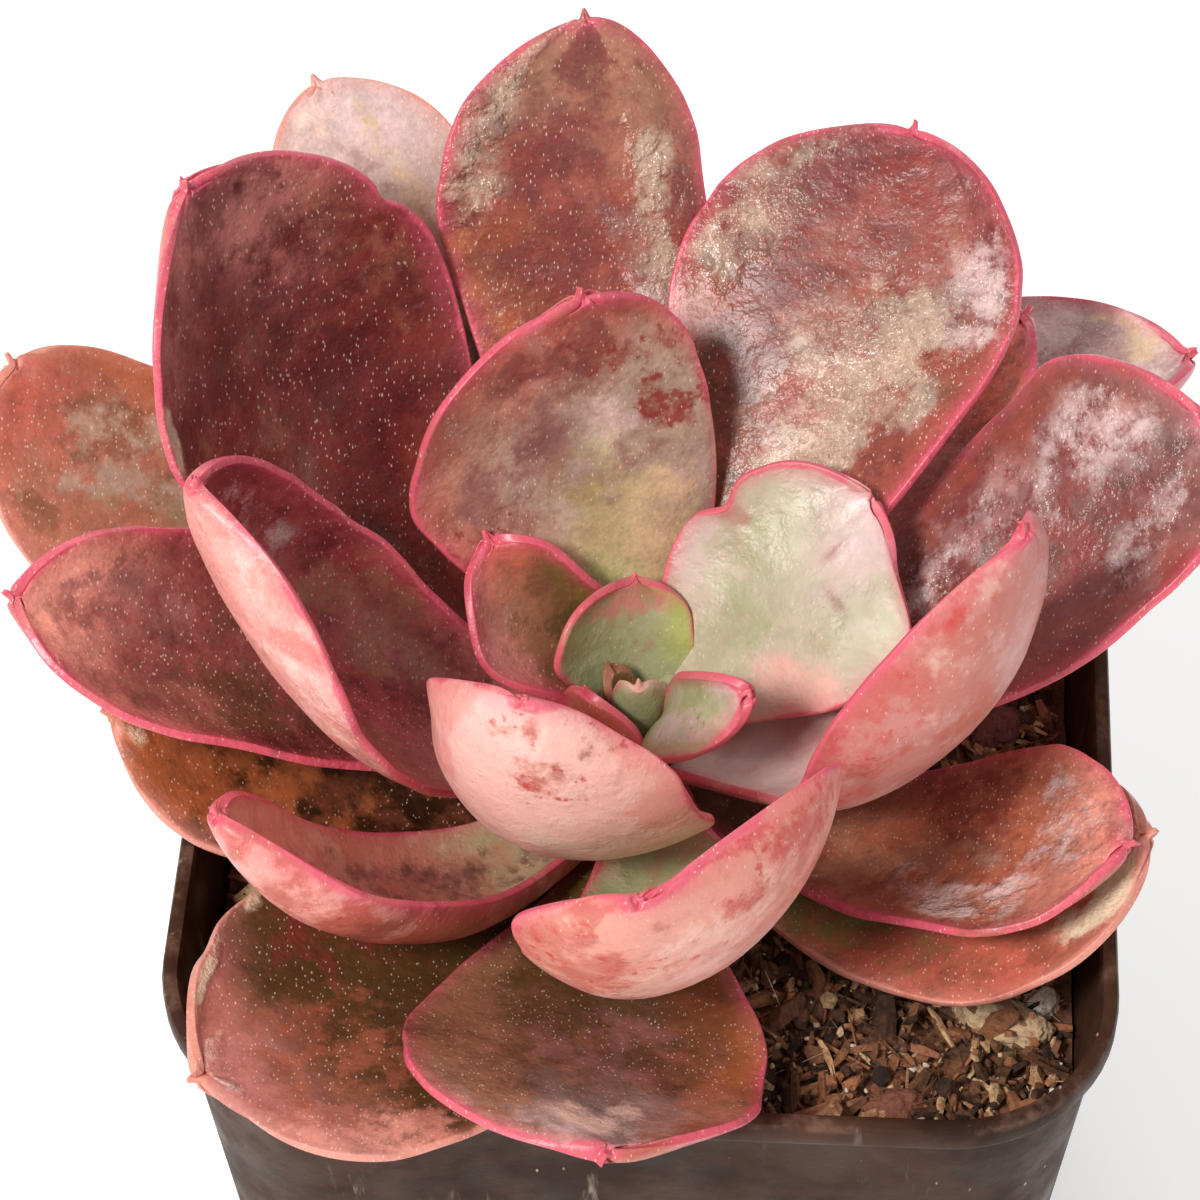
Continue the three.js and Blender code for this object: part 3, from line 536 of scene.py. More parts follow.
        patches=(Patch(0.8, 0.0, 0.14, 0.5, Tone.DOVE, 0.5, 0.7),
            Patch(0.65, 0.2, 0.14, 0.5, Tone.OLIVE, 0.5, 0.7))),
    "far_right": LeafPaint(Tone.DUSK, Tone.MAUVE, Tone.SILVER, Tone.ROSE, LeafGroup.GREY,
        patches=(Patch(0.97, 0.55, 0.06, 0.3, Tone.SAND, 0.7, 0.8),
            Patch(0.8, 0.2, 0.14, 0.4, Tone.ROSEWOOD, 0.6))),
    "low_front_left": LeafPaint(Tone.OLIVE, Tone.EARTH, Tone.ROSE, Tone.RUST, LeafGroup.OLIVE, Tone.SALMON,
        patches=(Patch(0.9, -0.97, 0.14, 0.1, Tone.CREAM, 0.9, 0.8, crust=1.0),
            Patch(0.99, -0.3, 0.03, 0.5, Tone.SHELL, 0.8, 0.8, crust=1.0),
            Patch(0.84, 0.8, 0.12, 0.2, Tone.SALMON, 0.7, 0.7), Patch(0.78, 0.1, 0.14, 0.6, Tone.TERRA, 0.6),
            Patch(0.65, -0.4, 0.14, 0.4, Tone.MAROON, 0.5, 0.9)),
        notches=(Notch(0.88, -1, 1.2, 2.0), Notch(0.99, 1, 1.4, 2.2))),
}


class Graph:
    """The nodes of one material or node group, added and joined in order."""

    def __init__(self, tree: bpy.types.NodeTree) -> None:
        """Keeps the tree that nodes are added to."""
        self.tree = tree

    def join(self, value: object, socket: Socket) -> None:
        """Feeds an input from another node's output, or sets it.

        Args:
            value: The output socket, the plain value or the tone.
            socket: The input.
        """
        if isinstance(value, Socket):
            self.tree.links.new(value, socket)
        else:
            socket.default_value = value.linear() if isinstance(value, Tone) else value

    def add(self, kind: str, inputs: Inputs | None = None, **settings: object) -> Node:
        """Adds a node and fills its inputs.

        Args:
            kind: The node's type name.
            inputs: A value, or an output socket to join, for each named input.
            **settings: Values for the node's own properties.

        Returns:
            The new node.
        """
        node = self.tree.nodes.new(kind)
        for name, value in settings.items():
            setattr(node, name, value)
        for name, value in (inputs or {}).items():
            self.join(value, node.inputs[name])
        return node

    def place(self) -> Socket:
        """The piece's own coordinates."""
        return self.add("ShaderNodeTexCoord").outputs["Object"]

    def stored(self, name: str, output: str = "Fac") -> Socket:
        """A value, or with the output Color a colour, that is stored on the piece's vertices."""
        return self.add("ShaderNodeAttribute", attribute_name=name).outputs[output]

    def group(self, tree: bpy.types.NodeTree, output: str, inputs: Inputs) -> Socket:
        """Places a shared group, fills its inputs and gives one output."""
        return self.add("ShaderNodeGroup", inputs, node_tree=tree).outputs[output]

    def mix(self, share: object, low: object, high: object, blend: str = "MIX") -> Socket:
        """Mixes two colours by a share."""
        return self.add("ShaderNodeMix", {0: share, 6: low, 7: high}, data_type="RGBA",
                        blend_type=blend, clamp_factor=True).outputs[2]

    def ramp(self, value: Socket, low: object, high: object, start: float = 0.0, end: float = 1.0) -> Socket:
        """Maps a value smoothly from low..high to start..end."""
        span = {"Value": value, "From Min": low, "From Max": high, "To Min": start, "To Max": end}
        return self.add("ShaderNodeMapRange", span, interpolation_type="SMOOTHSTEP").outputs["Result"]

    def math(self, operation: str, first: object, second: object = 0.0) -> Socket:
        """Works out one operation on two values."""
        return self.add("ShaderNodeMath", {0: first, 1: second}, operation=operation).outputs[0]

    def times(self, first: object, second: object) -> Socket:
        """One value times another."""
        return self.math("MULTIPLY", first, second)

    def plus(self, first: object, second: object) -> Socket:
        """The sum of two values."""
        return self.math("ADD", first, second)

    def noise(self, scale: object, detail: float = 4.0, rough: float = 0.55,
              vector: Socket | None = None) -> Socket:
        """Noise on the piece's own coordinates, or on others that are given."""
        grain = {"Vector": vector or self.place(), "Scale": scale, "Detail": detail, "Roughness": rough}
        return self.add("ShaderNodeTexNoise", grain).outputs[0]

    def emboss(self, shader: Node, height: Socket, strength: float, distance: float) -> None:
        """Raises a shader's surface finely by a height."""
        bump = self.add("ShaderNodeBump", {"Strength": strength, "Distance": distance, "Height": height})
        self.join(bump.outputs["Normal"], shader.inputs["Normal"])


COLOUR = "NodeSocketColor"
VALUE = "NodeSocketFloat"
WHITE = (1.0, 1.0, 1.0, 1.0)


def new_group(name: str, inputs: dict[str, tuple[str, object]], output: str, kind: str
              ) -> tuple[Graph, dict[str, Socket], Socket]:
    """Starts a shader node group.

    Args:
        name: The group's name.
        inputs: For each input its socket type and starting value.
        output: The name of the group's output.
        kind: The output's socket type.

    Returns:
        A graph on the group, the sockets that bring its inputs and the one that takes its output.
    """
    tree = bpy.data.node_groups.new(name, "ShaderNodeTree")
    for label, (socket_type, value) in inputs.items():
        tree.interface.new_socket(label, in_out="INPUT", socket_type=socket_type).default_value = value
    tree.interface.new_socket(output, in_out="OUTPUT", socket_type=kind)
    graph = Graph(tree)
    given = graph.add("NodeGroupInput").outputs
    return graph, {label: given[label] for label in inputs}, graph.add("NodeGroupOutput").inputs[output]


class Effects:
    """The shader node groups that several finishes share."""

    def __init__(self) -> None:
        """Builds each group once."""
        self.mottle, self.specks, self.relief = self._mottle(), self._specks(), self._relief()

    @staticmethod
    def _mottle() -> bpy.types.NodeTree:
        """Darkens and lightens a colour in ragged blotches of two sizes.

        Returns:
            The group.
        """
        g, given, out = new_group("Mottle", {
            "Color": (COLOUR, WHITE), "Dark": (COLOUR, WHITE), "Light": (COLOUR, WHITE),
            "Scale": (VALUE, 150.0), "Dark Share": (VALUE, 0.4), "Light Share": (VALUE, 0.3)}, "Color", COLOUR)
        broad = g.noise(given["Scale"], 5.0, 0.6)
        fine = g.noise(g.times(given["Scale"], 5.5), 3.0, 0.6)
        blotch = g.plus(g.times(broad, 0.75), g.times(fine, 0.25))
        dark = g.times(g.ramp(blotch, 0.5, 0.61), given["Dark Share"])
        light = g.times(g.ramp(blotch, 0.48, 0.38), given["Light Share"])
        g.join(g.mix(light, g.mix(dark, given["Color"], given["Dark"]), given["Light"]), out)
        return g.tree

    @staticmethod
    def _specks() -> bpy.types.NodeTree:
        """Scatters small grains of dust and puts out where they are.

        Returns:
            The group.
        """
        g, given, out = new_group("Dust Specks", {
            "Scale": (VALUE, 600.0), "Size": (VALUE, 0.16), "Share": (VALUE, 0.4)}, "Mask", VALUE)
        bent = g.add("ShaderNodeMapping", {"Vector": g.place(), "Rotation": (0.0, 0.3, 0.6),
                                           "Scale": (1.0, 0.5, 0.4)}).outputs[0]
        cells = g.add("ShaderNodeTexVoronoi", {"Vector": bent, "Scale": given["Scale"]})
        near = g.ramp(cells.outputs["Distance"], given["Size"], g.times(given["Size"], 0.4))
        pick = g.add("ShaderNodeSeparateColor", {0: cells.outputs["Color"]}).outputs[0]
        chosen = g.math("GREATER_THAN", g.plus(pick, given["Share"]), 1.0)
        patchy = g.ramp(g.noise(90.0, 3.0), 0.3, 0.5)
        g.join(g.times(g.times(near, chosen), patchy), out)
        return g.tree

    @staticmethod
    def _relief() -> bpy.types.NodeTree:
        """Fine uneven height of two sizes.

        Returns:
            The group.
        """
        g, given, out = new_group("Fine Relief", {
            "Scale": (VALUE, 400.0), "Coarse Share": (VALUE, 0.5), "Fine Share": (VALUE, 0.35)}, "Height", VALUE)
        coarse = g.times(g.noise(given["Scale"], 3.0), given["Coarse Share"])
        fine = g.times(g.noise(g.times(given["Scale"], 6.0), 4.0, 0.65), given["Fine Share"])
        g.join(g.plus(coarse, fine), out)
        return g.tree


def new_material(name: str) -> tuple[Material, Graph, Node]:
    """Starts a material with its surface shader.

    Args:
        name: The material's name.

    Returns:
        The material, a graph on its nodes and its Principled shader.
    """
    material = bpy.data.materials.new(name)
    material.use_nodes = True
    return material, Graph(material.node_tree), material.node_tree.nodes["Principled BSDF"]


@dataclass(frozen=True)
class LeafSkin:
    """Waxy leaf skin: blotched colour, bright edge, dust and a leathery relief."""

    name: str
    dark: Tone
    light: Tone
    fleck: Tone
    dark_share: float
    light_share: float
    contrast: float
    dust: float
    roughness: float
    wax: float = 0.12
    wax_roughness: float = 0.24

    def build(self, effects: Effects) -> Material:
        """Makes the material.

        Args:
            effects: The shared groups.

        Returns:
            The material, for all leaves of one finish.
        """
        material, g, shader = new_material(self.name)
        gloss, crust = g.stored("gloss"), g.stored("crust")
        grains = self._grains(g, effects)
        colour = g.mix(g.times(grains, 0.62), self._colour(g, effects), Tone.SHELL)
        g.join(colour, shader.inputs["Base Color"])
        uneven = g.ramp(g.noise(110.0, 6.0, 0.65), 0.3, 0.7, self.roughness - 0.08, self.roughness + 0.12)
        shiny = g.math("SUBTRACT", uneven, g.times(gloss, 0.12))
        g.join(g.plus(shiny, g.times(g.math("MAXIMUM", crust, grains), 0.35)), shader.inputs["Roughness"])
        shader.inputs["Coat Weight"].default_value = self.wax
        shader.inputs["Coat Roughness"].default_value = self.wax_roughness
        relief = g.group(effects.relief, "Height", {
            "Scale": 330.0, "Coarse Share": self.contrast * 0.45, "Fine Share": self.contrast * 0.16})
        folded = g.math("ABSOLUTE", g.math("SUBTRACT", g.noise(150.0, 5.0, 0.6), 0.5))
        crease = g.times(g.ramp(folded, 0.0, 0.14), g.plus(g.times(gloss, 0.32), 0.08))
        scab = g.times(g.noise(1500.0, 4.0, 0.7), g.times(crust, 0.35))
        g.emboss(shader, g.plus(relief, g.plus(crease, scab)), 1.0, MM)
        return material

    def _colour(self, g: Graph, effects: Effects) -> Socket:
        """Lays the skin's colours over each other: blade, blotches (among them painted sheens and painted
        shadows), flecks and edge.

        Args:
            g: The material's graph.
            effects: The shared groups.

        Returns:
            The colour without its dust.
        """
        margin = g.stored("margin", "Color")
        upper = g.ramp(g.stored("upper"), 0.3, 0.7, 0.25, 1.0)
        mottled = g.group(effects.mottle, "Color", {
            "Color": g.stored("tint", "Color"), "Dark": self.dark, "Light": self.light, "Scale": 120.0,
            "Dark Share": g.times(upper, self.dark_share), "Light Share": self.light_share})
        torn = g.plus(g.stored("marked"), g.ramp(g.noise(230.0, 7.0, 0.72), 0.28, 0.72, -0.5, 0.5))
        # Stored marks: blotches, and on some leaves painted sheen and painted shadow.
        marked = g.mix(g.times(g.ramp(torn, 0.25, 0.9), 0.85), mottled, g.stored("mark", "Color"))
        depth = g.ramp(g.noise(170.0, 7.0, 0.7), 0.3, 0.7, 1 - self.contrast, 1 + self.contrast)
        deep = g.mix(upper, marked, depth, "MULTIPLY")
        flecked = g.plus(g.times(g.stored("fleck"), 0.09), g.noise(800.0, 6.0, 0.68))
        spotted = g.mix(g.times(g.ramp(flecked, 0.66, 0.78), 0.85), deep, self.fleck)
        ragged = g.plus(g.stored("edge"), g.ramp(g.noise(190.0, 4.0), 0.25, 0.75, -0.3, 0.45))
        warm = g.times(g.ramp(ragged, 2.2, 0.4), 0.5)
        band = g.times(g.ramp(ragged, 0.55, 0.1), 0.85)
        lined = g.mix(band, g.mix(warm, spotted, g.mix(0.4, margin, spotted)), margin)
        half = self.contrast * 0.5
        return g.mix(1.0, lined, g.ramp(g.noise(2300.0, 4.0, 0.7), 0.3, 0.7, 1 - half, 1 + half), "MULTIPLY")

    def _grains(self, g: Graph, effects: Effects) -> Socket:
        """Where grains of dust of two sizes lie on the skin."""
        fine, coarse = (g.group(effects.specks, "Mask", {"Scale": scale, "Size": size, "Share": share})
                        for scale, size, share in ((2500.0, 0.22, self.dust), (1300.0, 0.15, self.dust * 0.5)))
        return g.math("MAXIMUM", fine, coarse)


@dataclass(frozen=True)
class PotPlastic:
    """Moulded nursery-pot plastic with scuffs, a paler lip edge that is partly wear and partly a painted
    highlight, and dried splashes.
    """

    rim_height: float
    # How far down the lip its paler band reaches: wear and a painted highlight.
    scuff_and_highlight_depth: float = 0.0014
    shine: float = 0.07

    def build(self, effects: Effects) -> Material:
        """Makes the material.

        Args:
            effects: The shared groups.

        Returns:
            The material.
        """
        material, g, shader = new_material("pot plastic")
        mottled = g.group(effects.mottle, "Color", {
            "Color": Tone.PLASTIC, "Dark": Tone.PLASTIC_DARK, "Light": Tone.PLASTIC_WORN, "Scale": 60.0,
            "Dark Share": 0.6, "Light Share": 0.12})
        height = g.add("ShaderNodeSeparateXYZ", {0: g.place()}).outputs["Z"]
        # The lip's top band is painted paler in ragged patches: partly wear, partly a painted highlight along the
        # rim.
        lip = g.ramp(height, self.rim_height - self.scuff_and_highlight_depth, self.rim_height - 0.0003)
        scuff_and_highlight = g.times(lip, g.ramp(g.noise(170.0, 5.0, 0.65), 0.46, 0.66))
        lip_scuff_and_highlight = g.mix(g.times(scuff_and_highlight, 0.85), mottled, Tone.PLASTIC_WORN)
        stretched = g.add("ShaderNodeMapping", {"Vector": g.place(), "Scale": (1.0, 1.0, 0.12)}).outputs[0]
        streaks = g.ramp(g.noise(420.0, 4.0, 0.7, stretched), 0.58, 0.75)
        splash = g.times(streaks, g.ramp(g.noise(35.0, 4.0), 0.45, 0.62))
        dusty = g.mix(g.times(splash, 0.5), lip_scuff_and_highlight, Tone.DUST)
        specks = g.group(effects.specks, "Mask", {"Scale": 950.0, "Share": 0.1})
        g.join(g.mix(g.times(specks, 0.7), dusty, Tone.DUST), shader.inputs["Base Color"])
        shader.inputs["Specular IOR Level"].default_value = self.shine
        g.join(g.ramp(g.noise(140.0, 5.0, 0.6), 0.3, 0.7, 0.32, 0.6), shader.inputs["Roughness"])
        relief = g.group(effects.relief, "Height", {"Scale": 260.0, "Coarse Share": 0.5})
        g.emboss(shader, relief, 0.35, 0.0003)
        return material


@dataclass(frozen=True)
class LooseMatter:
    """Bark, grit, stone or stem: a colour run picked by the stored tone of each bit, with a rough relief."""

    name: str
    run: tuple[Tone, ...]
    relief: float
    spread: float
    scale: float

    def build(self, effects: Effects) -> Material:
        """Makes the material.

        Args:
            effects: The shared groups.

        Returns:
            The material.
        """
        material, g, shader = new_material(self.name)
        drift = g.ramp(g.noise(self.scale, 5.0, 0.65), 0.2, 0.8, -self.spread, self.spread)
        ramp = g.add("ShaderNodeValToRGB", {0: g.plus(g.stored("tone"), drift)})
        stops = ramp.color_ramp.elements
        while len(stops) < len(self.run):
            stops.new(0.5)
        for index in range(len(self.run)):
            stops[index].position = index / (len(self.run) - 1)
        for index, tone in enumerate(self.run):
            stops[index].color = tone.linear()
        grime = g.ramp(g.noise(self.scale * 3, 3.0), 0.5, 0.7, 0.0, 0.5)
        g.join(g.mix(grime, ramp.outputs[0], Tone.BARK_DARK), shader.inputs["Base Color"])
        g.join(g.ramp(g.noise(self.scale, 2.0), 0.3, 0.7, 0.7, 0.95), shader.inputs["Roughness"])
        height = g.group(effects.relief, "Height", {"Scale": self.scale, "Coarse Share": 0.8})
        g.emboss(shader, height, self.relief, 0.0006)
        return material


class Finishes:
    """Every finish of the plant, built once."""

    def __init__(self) -> None:
        """Builds the shared effects and the materials."""
        effects = Effects()
        skins = {
            LeafGroup.GREEN: LeafSkin(
                "green leaf skin", Tone.MOSS, Tone.SILVER, Tone.BRICK,
                dark_share=0.3, light_share=0.3, contrast=0.07, dust=0.25, roughness=0.44),
            LeafGroup.GREY: LeafSkin(
                "grey leaf skin", Tone.MAROON, Tone.SILVER, Tone.GARNET,
                dark_share=0.45, light_share=0.2, contrast=0.2, dust=0.7, roughness=0.38),
            LeafGroup.SALMON: LeafSkin(
                "salmon leaf skin", Tone.CORAL, Tone.SHELL, Tone.SCARLET,
                dark_share=0.35, light_share=0.35, contrast=0.09, dust=0.4, roughness=0.42),
            LeafGroup.BURGUNDY: LeafSkin(
                "burgundy leaf skin", Tone.WINE, Tone.TAN, Tone.GARNET,
                dark_share=0.55, light_share=0.35, contrast=0.26, dust=1.0, roughness=0.36),
            LeafGroup.OLIVE: LeafSkin(
                "olive leaf skin", Tone.EARTH, Tone.TERRA, Tone.UMBER,
                dark_share=0.5, light_share=0.35, contrast=0.18, dust=0.9, roughness=0.38),
        }
        barks = (Tone.BARK_DARK, Tone.BARK, Tone.BARK_RED, Tone.BARK_PALE)
        matters = (
            LooseMatter("soil ground", barks[:3], relief=1.0, spread=0.4, scale=420.0),
            LooseMatter("shredded bark", barks, relief=0.8, spread=0.15, scale=700.0),
            LooseMatter("grit", (Tone.SAND, Tone.GRIT, Tone.CREAM), relief=0.6, spread=0.3, scale=900.0),
            LooseMatter("lava stone", (Tone.WINE, Tone.LAVA, Tone.CLAY), relief=1.0, spread=0.45, scale=600.0),
            LooseMatter("dry clod", (Tone.BARK, Tone.CLAY, Tone.SAND), relief=1.0, spread=0.4, scale=520.0),
            LooseMatter("stem skin", (Tone.COCOA, Tone.MOSS, Tone.SAGE), relief=0.8, spread=0.4, scale=260.0),
        )
        self.leaves = {group: skin.build(effects) for group, skin in skins.items()}
        self.pot = PotPlastic(Pot.height * MM).build(effects)
        self.ground, self.bark, self.grit, self.lava, self.clod, self.stem = (
            matter.build(effects) for matter in matters)


def finish_piece(piece: Piece, material: Material, slot: str, *nodes: str) -> None:
    """Gives a piece its material, hangs it under the root body and hides the solids it stands for.

    Args:
        piece: The finished object.
        material: The material for all of it.
        slot: The name of the finish; not used.
        *nodes: The solids that the piece replaces.
    """
    piece.data.materials.clear()
    piece.data.materials.append(material)
    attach(piece, ROOT_BODY)
    if nodes:
        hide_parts(*nodes)
    log.info("%s: %d vertices", piece.name, len(piece.data.vertices))


@dataclass
class Leaves:
    """The rosette: one waved, fleshy blade with a spine for each leaf."""

    blade: float = 2.6
    bud_blade: float = 1.7
    edge: float = 0.75
    spine: float = 1.4
    spine_half: float = 0.36
    ripple: float = 0.22
    rows: int = 44
    columns: int = 22

    def build(self, finishes: Finishes) -> None:
        """Makes every leaf.

        Args:
            finishes: The materials.
        """
        for index, (name, form) in enumerate(LEAF_FORMS.items()):
            paint = LEAF_PAINTS[name]
            piece = self._blade(f"{name}_leaf", form, paint, index * GOLDEN_STEP)
            finish_piece(piece, finishes.leaves[paint.group], paint.group.value, f"leaf_{name}")

    @staticmethod
    def _width_share(form: LeafForm, s: Array) -> Array:
        """Share of the leaf's half width.

        Args:
            form: The leaf's shape.
            s: Place along the blade.

        Returns:
            The share at each place.
        """
        rising = form.neck + (1 - form.neck) * np.sin(math.pi / 2 * np.clip(s / form.full, 0, 1)) ** 1.7
        past = np.clip((s - form.full) / (1 - form.full), 0, 1)
        return np.where(s <= form.full, rising, np.sqrt(np.clip(1 - past ** form.blunt, 0, 1)))

    def _midrib(self, form: LeafForm, s: Array
                ) -> tuple[Array, Array, Array, Array]:
        """Points on the midrib with the blade's directions there.

        Args:
            form: The leaf's shape.
            s: Place along the blade.

        Returns:
            The points and the directions along, left and up.
        """
        steps = 24

        def along(share: Array) -> Array:
            """Direction of the midrib.

            Args:
                share: Place along the blade.

            Returns:
                The direction at each place.
            """
            pitch = np.radians(form.lift[0] + (form.lift[1] - form.lift[0]) * share)
            heading = np.radians(form.dir + form.turn * share)
            return np.stack([np.cos(pitch) * np.cos(heading), np.cos(pitch) * np.sin(heading),
                             np.sin(pitch)], -1)

        foot = math.radians(form.dir)
        start = np.array([STEM_AT[0] + form.root * math.cos(foot),
                          STEM_AT[1] + form.root * math.sin(foot), form.base])
        middles = (np.arange(steps) + 0.5) / steps
        path = along(s[:, None] * middles[None, :]).sum(1)
        point = start + path * (form.length * s / steps)[:, None]
        forward = along(s)
        heading = np.radians(form.dir + form.turn * s)
        flat = np.stack([-np.sin(heading), np.cos(heading), np.zeros_like(s)], -1)
        roll = np.radians(form.roll * s)[:, None]
        left = flat * np.cos(roll) + np.cross(forward, flat) * np.sin(roll)
        return point, forward, left, np.cross(forward, left)

    def _surface(self, form: LeafForm, paint: LeafPaint, s: Array, t: Array, seed: float
                 ) -> tuple[Array, Array, Array, Array]:
        """Middle surface of a blade.

        Args:
            form: The leaf's shape.
            paint: The leaf's colours, which hold its nicks.
            s: Place along the blade, past 1 on the spine.
            t: Place across the blade, from -1 on the right to 1 on the left.
            seed: The leaf's own number for uneven detail.

        Returns:
            Points, normals, thickness and distance to the edge, in millimetres.
        """
        inside = np.clip(s, 0, 1)
        past = np.clip((s - 1) * form.length / (self.spine * paint.tip), 0, 1)
        point, forward, left, up = self._midrib(form, s)
        grow = np.clip(inside / form.full, 0, 1)
        spine_half = self.spine_half * (0.6 if form.small else 1.0) * min(1.0, paint.tip + 0.3)
        half = form.width / 2 * self._width_share(form, inside)
        half = half + spine_half * np.exp((inside - 1) * form.length / 1.1)
        side = np.sign(t)
        edge_wave = 1 + 0.024 * wobble(inside * form.length / 6, side * 3, seed) * grow
        for notch in paint.notches:
            gap = np.exp(-(((inside - notch.along) * form.length / notch.width) ** 2))
            pull = 1 - notch.depth / np.maximum(half, 1.0) * gap * np.abs(t) ** 3
            edge_wave = np.where(side == notch.side, edge_wave * np.clip(pull, 0.2, 1.6), edge_wave)
        half = np.where(past > 0, spine_half * (1 - past) ** 1.2 + 0.06, half * edge_wave)
        fold = np.radians(np.where(t > 0, form.fold[0], form.fold[1]))
        fold = np.where(np.abs(fold) < 1e-3, 1e-3, fold)
        bend = fold * np.abs(t)
        reach = half * (1 + side * form.lean * grow)
        centre = (point + left * (reach * side * np.sin(bend) / fold)[:, None]
                  + up * (reach * (1 - np.cos(bend)) / fold)[:, None])
        normal = up * np.cos(bend)[:, None] - left * (side * np.sin(bend))[:, None]
        phase = form.dir + np.where(t > 0, 0.0, 2.1)
        rise = form.wave * np.abs(t) ** 3 * grow ** 2 * np.sin(inside * 13 + phase)
        ripple = self.ripple * (0.4 if form.small else 1.0) * grow
        rise += ripple * wobble(inside * form.length / 16, t * form.width / 26, seed + 2)
        rise += 0.45 * ripple * wobble(inside * form.length / 5, t * form.width / 9, seed + 5)
        rise -= 0.25 * np.exp(-((t / 0.09) ** 2)) * grow * (0.3 if form.small else 1.0) * (1 - inside * 0.6)
        centre += normal * rise[:, None]
        middle = (self.bud_blade if form.small else self.blade) * (1 - 0.3 * inside ** 2)
        thick = self.edge + (middle - self.edge) * (1 - t ** 2)
        thick = np.where(past > 0, self.edge * (1 - past * 0.75), thick)
        slope = np.gradient(form.width / 2 * self._width_share(form, np.linspace(0, 1, 400)),
                            form.length / 399)
        steep = np.interp(inside, np.linspace(0, 1, 400), np.abs(slope))
        distance = half * (1 - np.abs(t)) / np.sqrt(1 + np.minimum(steep, 6) ** 2)
        distance = np.minimum(distance, (1 - inside) * form.length) * (2.4 if form.small else 1.0)
        return centre, normal, thick, np.where(past > 0, 0, distance)

    def _blade(self, name: str, form: LeafForm, paint: LeafPaint, seed: float) -> Piece:
        """Models one leaf from a flat grid: shaped, thickened and smoothed.

        Args:
            name: The piece's name.
            form: The leaf's shape.
            paint: The leaf's colours and nicks.
            seed: The leaf's own number for uneven detail.

        Returns:
            The finished leaf.
        """
        deselect_all()
        coarse = 2 if form.small else 1
        bpy.ops.mesh.primitive_grid_add(x_subdivisions=self.rows // coarse,
                                        y_subdivisions=self.columns // coarse, size=2)
        piece = named(name)
        mesh = piece.data
        flat = points_of(mesh)
        u = (flat[:, 0] + 1) / 2
        t = np.sin(math.pi / 2 * flat[:, 1])
        neck, end = 0.42, 0.93
        rounding = form.full + (1 - form.full) * np.sin(math.pi / 2 * np.clip((u - neck) / (end - neck), 0, 1))
        spine = 1 + (u - end) / (1 - end) * self.spine * paint.tip / form.length
        s = np.where(u < neck, form.full * u / neck, np.where(u <= end + 1e-6, rounding, spine))
        centre, normal, thick, distance = self._surface(form, paint, s, t, seed)
        place_points(mesh, centre * MM)
        set_values(mesh, "along", np.clip(s, 0, 1))
        set_values(mesh, "across", t)
        set_values(mesh, "edge", distance)
        full_blade = self.bud_blade if form.small else self.blade
        group = piece.vertex_groups.new(name="thickness")
        for index, weight in enumerate(np.clip(thick / full_blade, 0, 1)):
            group.add([index], float(weight), "REPLACE")
        apply_modifier(piece, "SOLIDIFY", thickness=full_blade * MM, offset=0.0, vertex_group="thickness")
        sides = np.einsum("ij,ij->i", points_of(mesh) - np.tile(centre * MM, (2, 1)), np.tile(normal, (2, 1)))
        set_values(mesh, "upper", (sides > 0).astype(float))
        apply_modifier(piece, "SUBSURF", levels=1, render_levels=1)
        self._tint(mesh, form, paint, seed)
        activate(piece)
        bpy.ops.object.shade_smooth()
        piece.vertex_groups.clear()
        return piece

    @staticmethod
    def _tint(mesh: Mesh, form: LeafForm, paint: LeafPaint, seed: float) -> None:
        """Stores a leaf's colours, gloss and crust on its vertices.

        Args:
            mesh: The leaf's mesh.
            form: The leaf's shape.
            paint: The leaf's colours.
            seed: The leaf's own number for uneven detail.
        """
        s, t = get_values(mesh, "along"), get_values(mesh, "across")
        upper = smooth(get_values(mesh, "upper"), 0.3, 0.7)[:, None]
        x, y = s * form.length / 9, t * form.width / 18

        def shade(tone: Tone) -> Array:
            """A tone as one row of linear red, green and blue."""
            return np.array(tone.linear()[:3])[None, :]

        drift = 0.07 * wobble(x, y, seed)
        face = shade(paint.foot) + (shade(paint.blade) - shade(paint.foot)) * smooth(
            s + drift, 0.12, 0.5)[:, None]
        face = face + (shade(paint.end) - face) * smooth(s + drift, 0.72, 1.0)[:, None]
        for tone, side in ((paint.left, 1), (paint.right, -1)):
            if tone:
                share = smooth(side * t + 2 * drift, 0.25, 0.95) * smooth(s, 0.2, 0.5)
                face = face + (shade(tone) - face) * 0.75 * share[:, None]
        pale = shade(paint.under) * (0.82 + 0.18 * smooth(s, 0.0, 0.6))[:, None]
        back = pale + (shade(Tone.CORAL) - pale) * (0.25 * smooth(np.abs(t) + drift, 0.6, 1.0))[:, None]
        gloss, crust, fleck = np.zeros_like(s), np.zeros_like(s), np.full_like(s, 0.1)
        marked, total = np.zeros_like(s), np.full_like(s, 1e-6)
        mark = np.repeat(shade(paint.blade), len(s), 0) * 1e-6
        for number, patch in enumerate(paint.patches):
            away = np.hypot((s - patch.along) / patch.long, (t - patch.across) / patch.wide)
            away = away + patch.ragged * wobble(x * 1.6, y * 1.6, seed + number + 3)
            sided = (1 - upper[:, 0]) if patch.under else upper[:, 0]
            mask = smooth(-away, -1.5, -0.45) * sided
            share = patch.strength * mask
            mark += shade(patch.tone) * (share ** 2)[:, None]
            total += share ** 2
            marked = np.maximum(marked, share)
            gloss = np.maximum(gloss, patch.gloss * mask)
            crust = np.maximum(crust, patch.crust * mask)
            fleck = np.maximum(fleck, patch.fleck * mask)
        set_colours(mesh, "tint", back + (face - back) * upper)
        set_colours(mesh, "mark", mark / total[:, None])
        set_colours(mesh, "margin", np.repeat(shade(paint.margin), len(s), 0))
        for name, values in (("marked", marked), ("gloss", gloss), ("crust", crust), ("fleck", fleck)):
            set_values(mesh, name, values)


